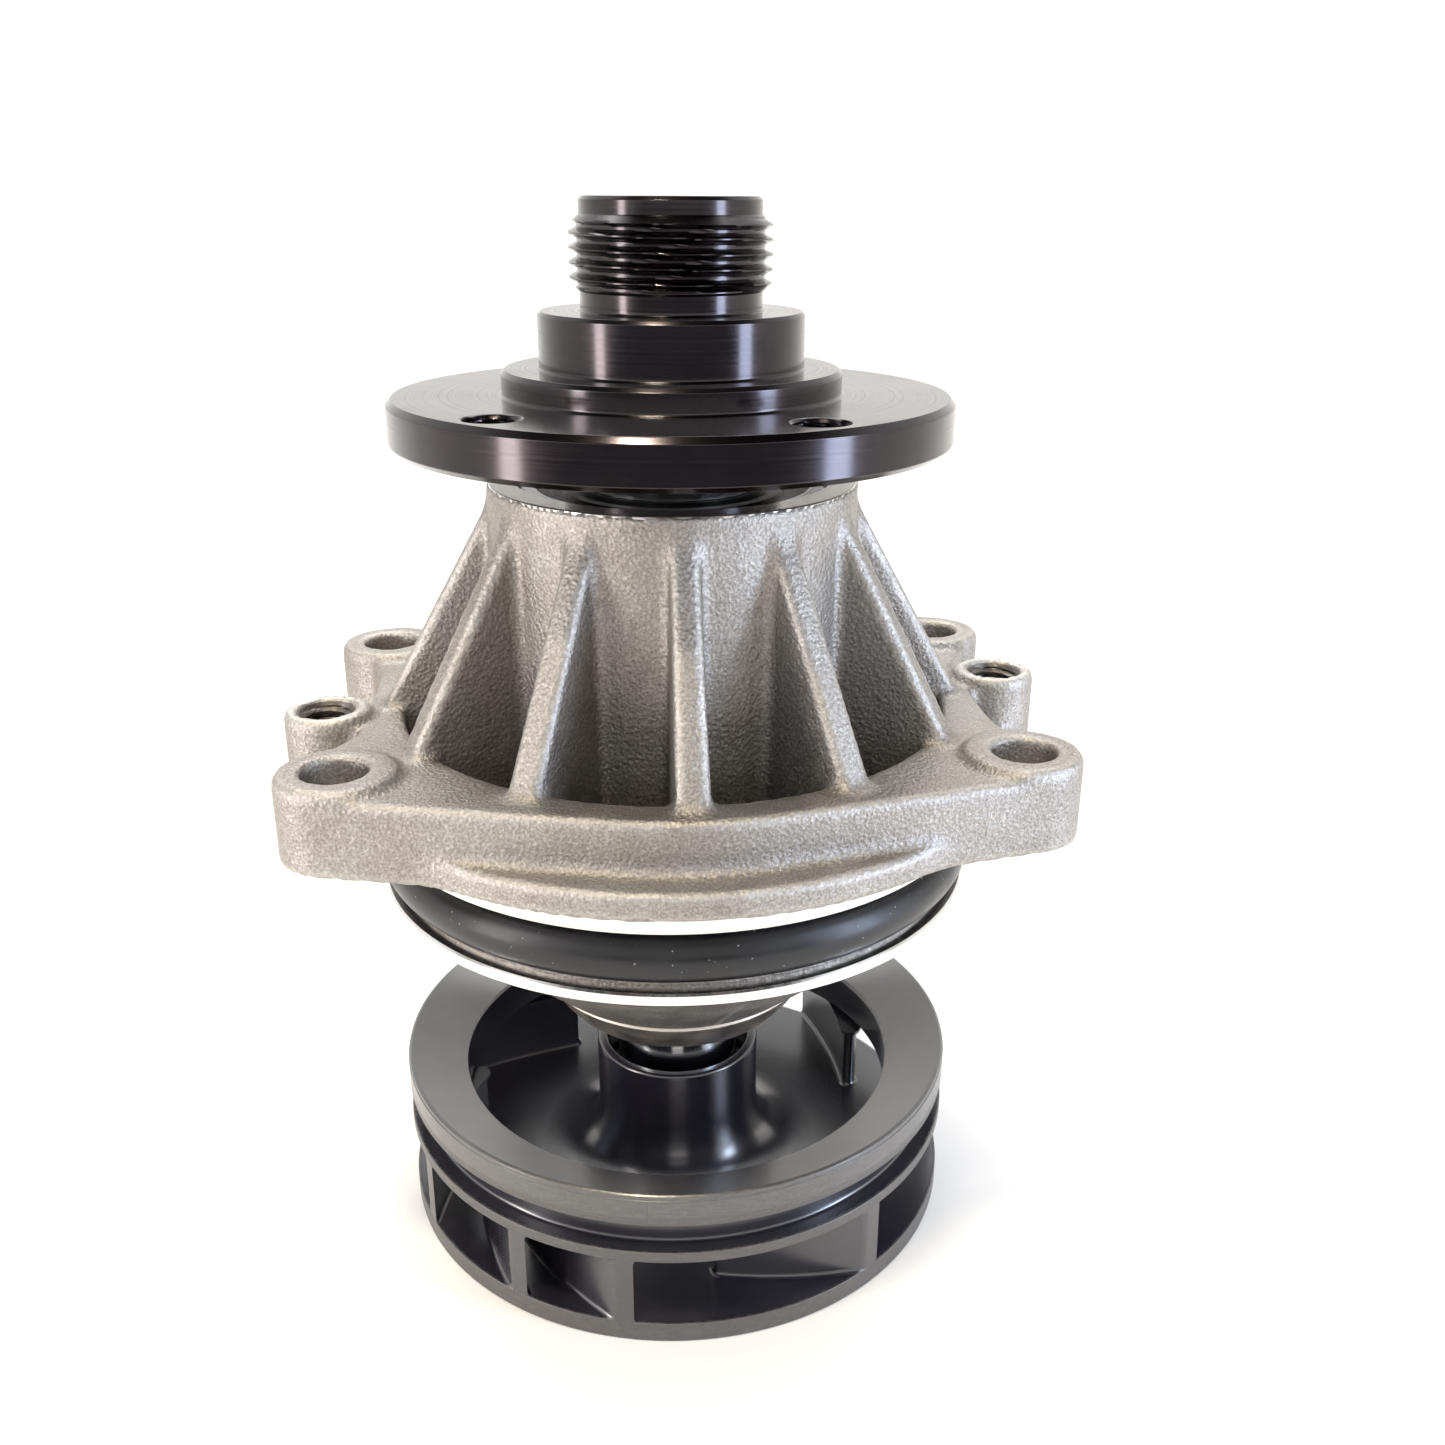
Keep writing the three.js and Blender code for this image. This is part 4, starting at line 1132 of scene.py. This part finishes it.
@dataclass(frozen=True)
class Seals:
    """The pilot's O-ring, the shaft seal's case and sleeve, and the bearing's ring and seals."""

    ring_middle: float = 33.25
    ring_height: float = 49.45
    ring_half: tuple[float, float] = (2.52, 2.87)
    flash_height: float = 0.035
    flash_angle: float = 0.25
    flash_width: float = 0.045

    def o_ring(self) -> Shell:
        """The O-ring: an ellipse carried round the axis, with a hair of mould flash on its girth."""
        t = np.linspace(0, TURN, 64, endpoint=False)
        away = np.angle(np.exp(1j * (t - self.flash_angle)))
        flash = self.flash_height * np.exp(-((away / self.flash_width) ** 2))
        r = self.ring_middle + (self.ring_half[0] + flash) * np.cos(t)
        z = self.ring_height + (self.ring_half[1] + flash) * np.sin(t)
        return turned(np.stack([r, z], axis=-1), 240)

    def case(self) -> Shell:
        """The pressed case: a flange against the cone, a dome, and a wall up the bore."""
        corners = [(10.4, 46.6, 0.1), (15.48, 46.6, 0.4), (15.48, 29.81, 0.05), (16.6, 29.81, 0.12),
                   (16.7, 29.3, 0.2), (15.75, 27.55, 1.5), (14.0, 25.4, 2.5), (11.9, 24.1, 0.7),
                   (11.3, 24.1, 0.15), (11.3, 24.9, 0.1), (13.4, 26.3, 1.0), (14.6, 28.0, 1.0),
                   (14.7, 30.6, 0.5), (14.7, 45.8, 0.3), (10.4, 45.8, 0.1)]
        return turned(softened(corners, 6), 180)

    def sleeve(self) -> Shell:
        """The polished sleeve that the shaft seal runs on."""
        corners = [(7.12, 12.9, 0.1), (8.8, 12.9, 0.2), (8.8, 13.7, 0.2), (7.75, 13.9, 0.3),
                   (7.75, 31.0, 0.25), (7.12, 31.0, 0.1)]
        return turned(softened(corners, 4), 128)

    def outer_ring(self) -> Shell:
        """The bearing's outer ring, with the ball track and a seat for each lip seal."""
        corners = [(16.86, 53.1, 0.1), (17.36, 53.6, 0.2), (17.36, 90.8, 0.2), (16.86, 91.3, 0.1),
                   (15.5, 91.3, 0.15), (15.5, 87.9, 0.1), (14.6, 87.7, 0.1), (14.6, 64.0, 0.1),
                   (14.9, 62.9, 0.2), (14.98, 62.0, 0.5), (14.9, 61.1, 0.2), (14.6, 60.0, 0.1),
                   (14.6, 56.7, 0.1), (15.5, 56.5, 0.1), (15.5, 53.1, 0.15)]
        return turned(softened(corners, 4), 160)

    def lip_seal(self, outside: float, inside: float) -> Shell:
        """A lip seal: a moulded disc with two shallow rings, and a lip on the shaft."""
        way = math.copysign(1.0, outside - inside)
        corners = [(15.38, inside, 0.1), (15.38, outside, 0.3), (13.9, outside, 0.2),
                   (13.6, outside - 0.35 * way, 0.2), (12.6, outside - 0.35 * way, 0.2),
                   (12.2, outside, 0.25), (11.0, outside, 0.3), (9.62, outside + 0.35 * way, 0.15),
                   (9.62, (outside + inside) / 2, 0.2), (11.0, inside, 0.3)]
        return turned(softened(corners, 4), 128)

    def build(self, finishes: Finishes) -> None:
        """Makes each seal in place of its plain node."""
        fixed, rubber, steel = Body.HOUSING, "seal_rubber", "stainless_steel"
        rows = [
            ("o_ring", "pilot_o_ring", self.o_ring(), fixed, rubber, finishes.rubber),
            ("shaft_seal_case", "seal_case", self.case(), fixed, steel, finishes.stainless),
            ("shaft_seal_sleeve", "seal_sleeve", self.sleeve(), Body.ROTOR, steel, finishes.ground),
            ("bearing_ring", "bearing_outer_ring", self.outer_ring(), fixed, "bearing_steel",
             finishes.bearing),
            ("bearing_lip_seal_pump", "bearing_seal_pump_side", self.lip_seal(53.7, 55.7), fixed,
             rubber, finishes.rubber),
            ("bearing_lip_seal_pulley", "bearing_seal_pulley_side", self.lip_seal(90.7, 88.7), fixed,
             rubber, finishes.rubber),
        ]
        for name, node, shell, body, slot, material in rows:
            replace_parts(put(name, shell, body, material, 35), node)


@dataclass(frozen=True)
class RunningGear:
    """The balls, and the inner pieces whose plain solids already have their shape."""

    balls: int = 8
    rollers: int = 10
    ball_pitch: float = 12.1
    ball_radius: float = 2.7
    ball_height: float = 62.0

    def ball_shell(self, index: int) -> Shell:
        """A ball: rows of latitude from pole to pole on the row's pitch circle."""
        latitude = np.linspace(-math.pi / 2, math.pi / 2, 25)
        outline = self.ball_radius * np.stack([np.cos(latitude), np.sin(latitude)], axis=-1)
        angle = TURN * index / self.balls
        x, y = self.ball_pitch * math.cos(angle), self.ball_pitch * math.sin(angle)
        return turned(outline, 40, False).moved(x, y, self.ball_height)

    def build(self, finishes: Finishes) -> None:
        """Makes round balls and dresses every node that stays."""
        for index in range(self.balls):
            made = put(f"bearing_ball_{index + 1}", self.ball_shell(index), Body.BALL_ROW,
                       finishes.bearing, 60)
            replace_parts(made, f"ball_{index + 1}")
        dress = {"bearing_shaft": finishes.ground, "impeller_insert": finishes.ground,
                 "seal_bellows": finishes.rubber, "seal_seat_cup": finishes.rubber,
                 "seal_spring": finishes.spring, "seal_spring_washer": finishes.stainless,
                 "seal_carbon_ring": finishes.carbon, "seal_seat_ring": finishes.ceramic,
                 "ball_cage": finishes.nylon, "roller_cage": finishes.nylon}
        dress |= {f"roller_{i + 1}": finishes.bearing for i in range(self.rollers)}
        for node, material in dress.items():
            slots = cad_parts[node].data.materials
            slots.clear()
            slots.append(material)
            LOG.info("%s: %s", node, material.name)


# Studio ----------------------------------------------------------------------


@dataclass(frozen=True)
class Studio:
    """A pale round sweep, soft lights and the camera.

    The camera's place is in millimetres, its angles are in degrees, and its lens is that of a
    sensor 36 mm wide. The sweep is in metres.
    """

    camera_at: tuple[float, float, float] = (-8.33, -156.07, 121.84)
    yaw: float = 5.169
    pitch: float = 20.919
    roll: float = -0.286
    lens: float = 34.41
    floor_flat: float = 0.9
    wall_run: float = 0.7
    wall_rise: float = 0.9
    world_strength: float = 0.97

    def camera(self) -> None:
        """The camera: forward from yaw and pitch, then turned by the roll about its own axis."""
        yaw, pitch, roll = (math.radians(v) for v in (self.yaw, self.pitch, self.roll))
        level = math.cos(pitch)
        forward = Vector((math.sin(yaw) * level, math.cos(yaw) * level, -math.sin(pitch)))
        right = Vector((math.cos(yaw), -math.sin(yaw), 0.0))
        down = forward.cross(right)
        across = math.cos(roll) * right + math.sin(roll) * down
        below = math.cos(roll) * down - math.sin(roll) * right
        data = bpy.data.cameras.new("camera")
        data.lens, data.sensor_width = self.lens, 36.0
        data.clip_start, data.clip_end = 0.01, 20.0
        made = bpy.data.objects.new("camera", data)
        frame = Matrix((across, -below, -forward)).transposed().to_4x4()
        made.matrix_world = Matrix.Translation(Vector(self.camera_at) * MM) @ frame
        bpy.context.scene.collection.objects.link(made)
        bpy.context.scene.camera = made

    def light(self, name: str, place: tuple, size: tuple, watts: float, colour: str,
              target: tuple = (0, 0, 0.06)) -> None:
        """An area light that faces a target.

        Args:
            name: its name.
            place: where it stands, in metres.
            size: its width and height, in metres.
            watts: its power.
            colour: its sRGB hex colour.
            target: the point that it faces.
        """
        data = bpy.data.lights.new(name, "AREA")
        data.shape, data.size, data.size_y = "RECTANGLE", *size
        data.energy, data.color = watts, linear(colour)[:3]
        made = bpy.data.objects.new(name, data)
        made.location = place
        made.rotation_euler = (Vector(place) - Vector(target)).to_track_quat("Z", "Y").to_euler()
        made.visible_camera = False
        bpy.context.scene.collection.objects.link(made)

    def sweep(self) -> None:
        """The floor: a flat round, then a quarter ellipse up to a rim all round."""
        flat = np.linspace(0, self.floor_flat, 10)
        rise = np.linspace(0, math.pi / 2, 16)[1:]
        r = np.concatenate([flat, self.floor_flat + self.wall_run * np.sin(rise)])
        z = np.concatenate([0 * flat, self.wall_rise * (1 - np.cos(rise))])
        shell = turned(np.stack([r, z], axis=-1) * 1000, 96, False)
        mesh = bpy.data.meshes.new("floor")
        mesh.from_pydata((shell.points * MM).tolist(), [], shell.quads.tolist())
        mesh.polygons.foreach_set("use_smooth", np.ones(len(mesh.polygons), bool))
        recipe = Recipe("white_card")
        # The wall is a lit panel, so that it stays as white as the floor.
        glow = recipe.span(recipe.radius(), (0.5, 1.2), (0.0, 0.24))
        mesh.materials.append(recipe.finish(
            Base_Color=linear("#dfddda"), Roughness=0.55, Specular_IOR_Level=0.2,
            Emission_Color=linear("#ffffff"), Emission_Strength=glow))
        made = bpy.data.objects.new("floor", mesh)
        bpy.context.scene.collection.objects.link(made)

    def card(self, name: str, place: tuple, size: tuple, tilt: float, grey: str) -> None:
        """A grey card that only mirrors see, with edges that fade out over their outer third.

        Args:
            name: its name.
            place: its middle, in metres.
            size: its half width and half depth, in metres.
            tilt: how far its front edge is raised, in degrees.
            grey: the sRGB hex colour that it shows.
        """
        mesh = bpy.data.meshes.new(name)
        signs = [(-1, -1), (1, -1), (1, 1), (-1, 1)]
        corners = [(across * size[0], along * size[1], 0) for across, along in signs]
        mesh.from_pydata(corners, [], [(0, 1, 2, 3)])
        recipe = Recipe(name)
        parts = recipe.node("ShaderNodeSeparateXYZ", {0: recipe.place}).outputs
        fades = [recipe.span(recipe.math("ABSOLUTE", parts[axis]), (0.67 * half, half), (1.0, 0.0))
                 for axis, half in zip("XY", size)]
        made = bpy.data.objects.new(name, mesh)
        mesh.materials.append(recipe.finish(
            Base_Color=linear("#000000"), Specular_IOR_Level=0.0, Emission_Color=linear(grey),
            Emission_Strength=1.0, Alpha=recipe.math("MULTIPLY", *fades)))
        made.location = place
        made.rotation_euler = (-math.radians(tilt), 0, 0)
        made.visible_camera = made.visible_diffuse = made.visible_shadow = False
        bpy.context.scene.collection.objects.link(made)

    def world(self) -> None:
        """Even white light from all round."""
        made = bpy.data.worlds.new("studio")
        made.use_nodes = True
        background = made.node_tree.nodes["Background"]
        background.inputs["Color"].default_value = linear("#ffffff")
        background.inputs["Strength"].default_value = self.world_strength
        bpy.context.scene.world = made

    def build(self) -> None:
        """Sets up everything round the pump."""
        self.camera()
        self.sweep()
        self.world()
        self.card("overhead_card", (0.0, -0.22, 0.85), (0.75, 0.60), 0.0, "#2c2a2c")
        self.card("front_card", (0.0, -0.50, 0.06), (0.80, 0.30), 15.0, "#8c868e")
        self.light("left_strip", (-0.27, -0.13, 0.10), (0.045, 0.30), 0.65, "#f8f1f0", (0, 0, 0.10))
        self.light("right_strip", (0.26, -0.15, 0.10), (0.06, 0.30), 0.85, "#cfe2ff", (0, 0, 0.10))
        self.light("lamp", (-0.12, -0.20, 0.75), (0.10, 0.05), 2.8, "#fff3d8")
        self.light("sky", (0.0, 0.35, 0.9), (0.9, 0.6), 9.0, "#ffffff")
        view = bpy.context.scene.view_settings
        view.view_transform = "Standard"
        view.look = "None"


def main() -> None:
    """Builds the pump in order, then its studio."""
    logging.basicConfig(level=logging.INFO, format="%(name)s: %(message)s")
    finishes = Finishes()
    for maker in (CastBody(), TurnedLands(), DriveHub(), Impeller(), Seals(), RunningGear()):
        maker.build(finishes)
    Studio().build()


if __name__ == "__main__":
    main()
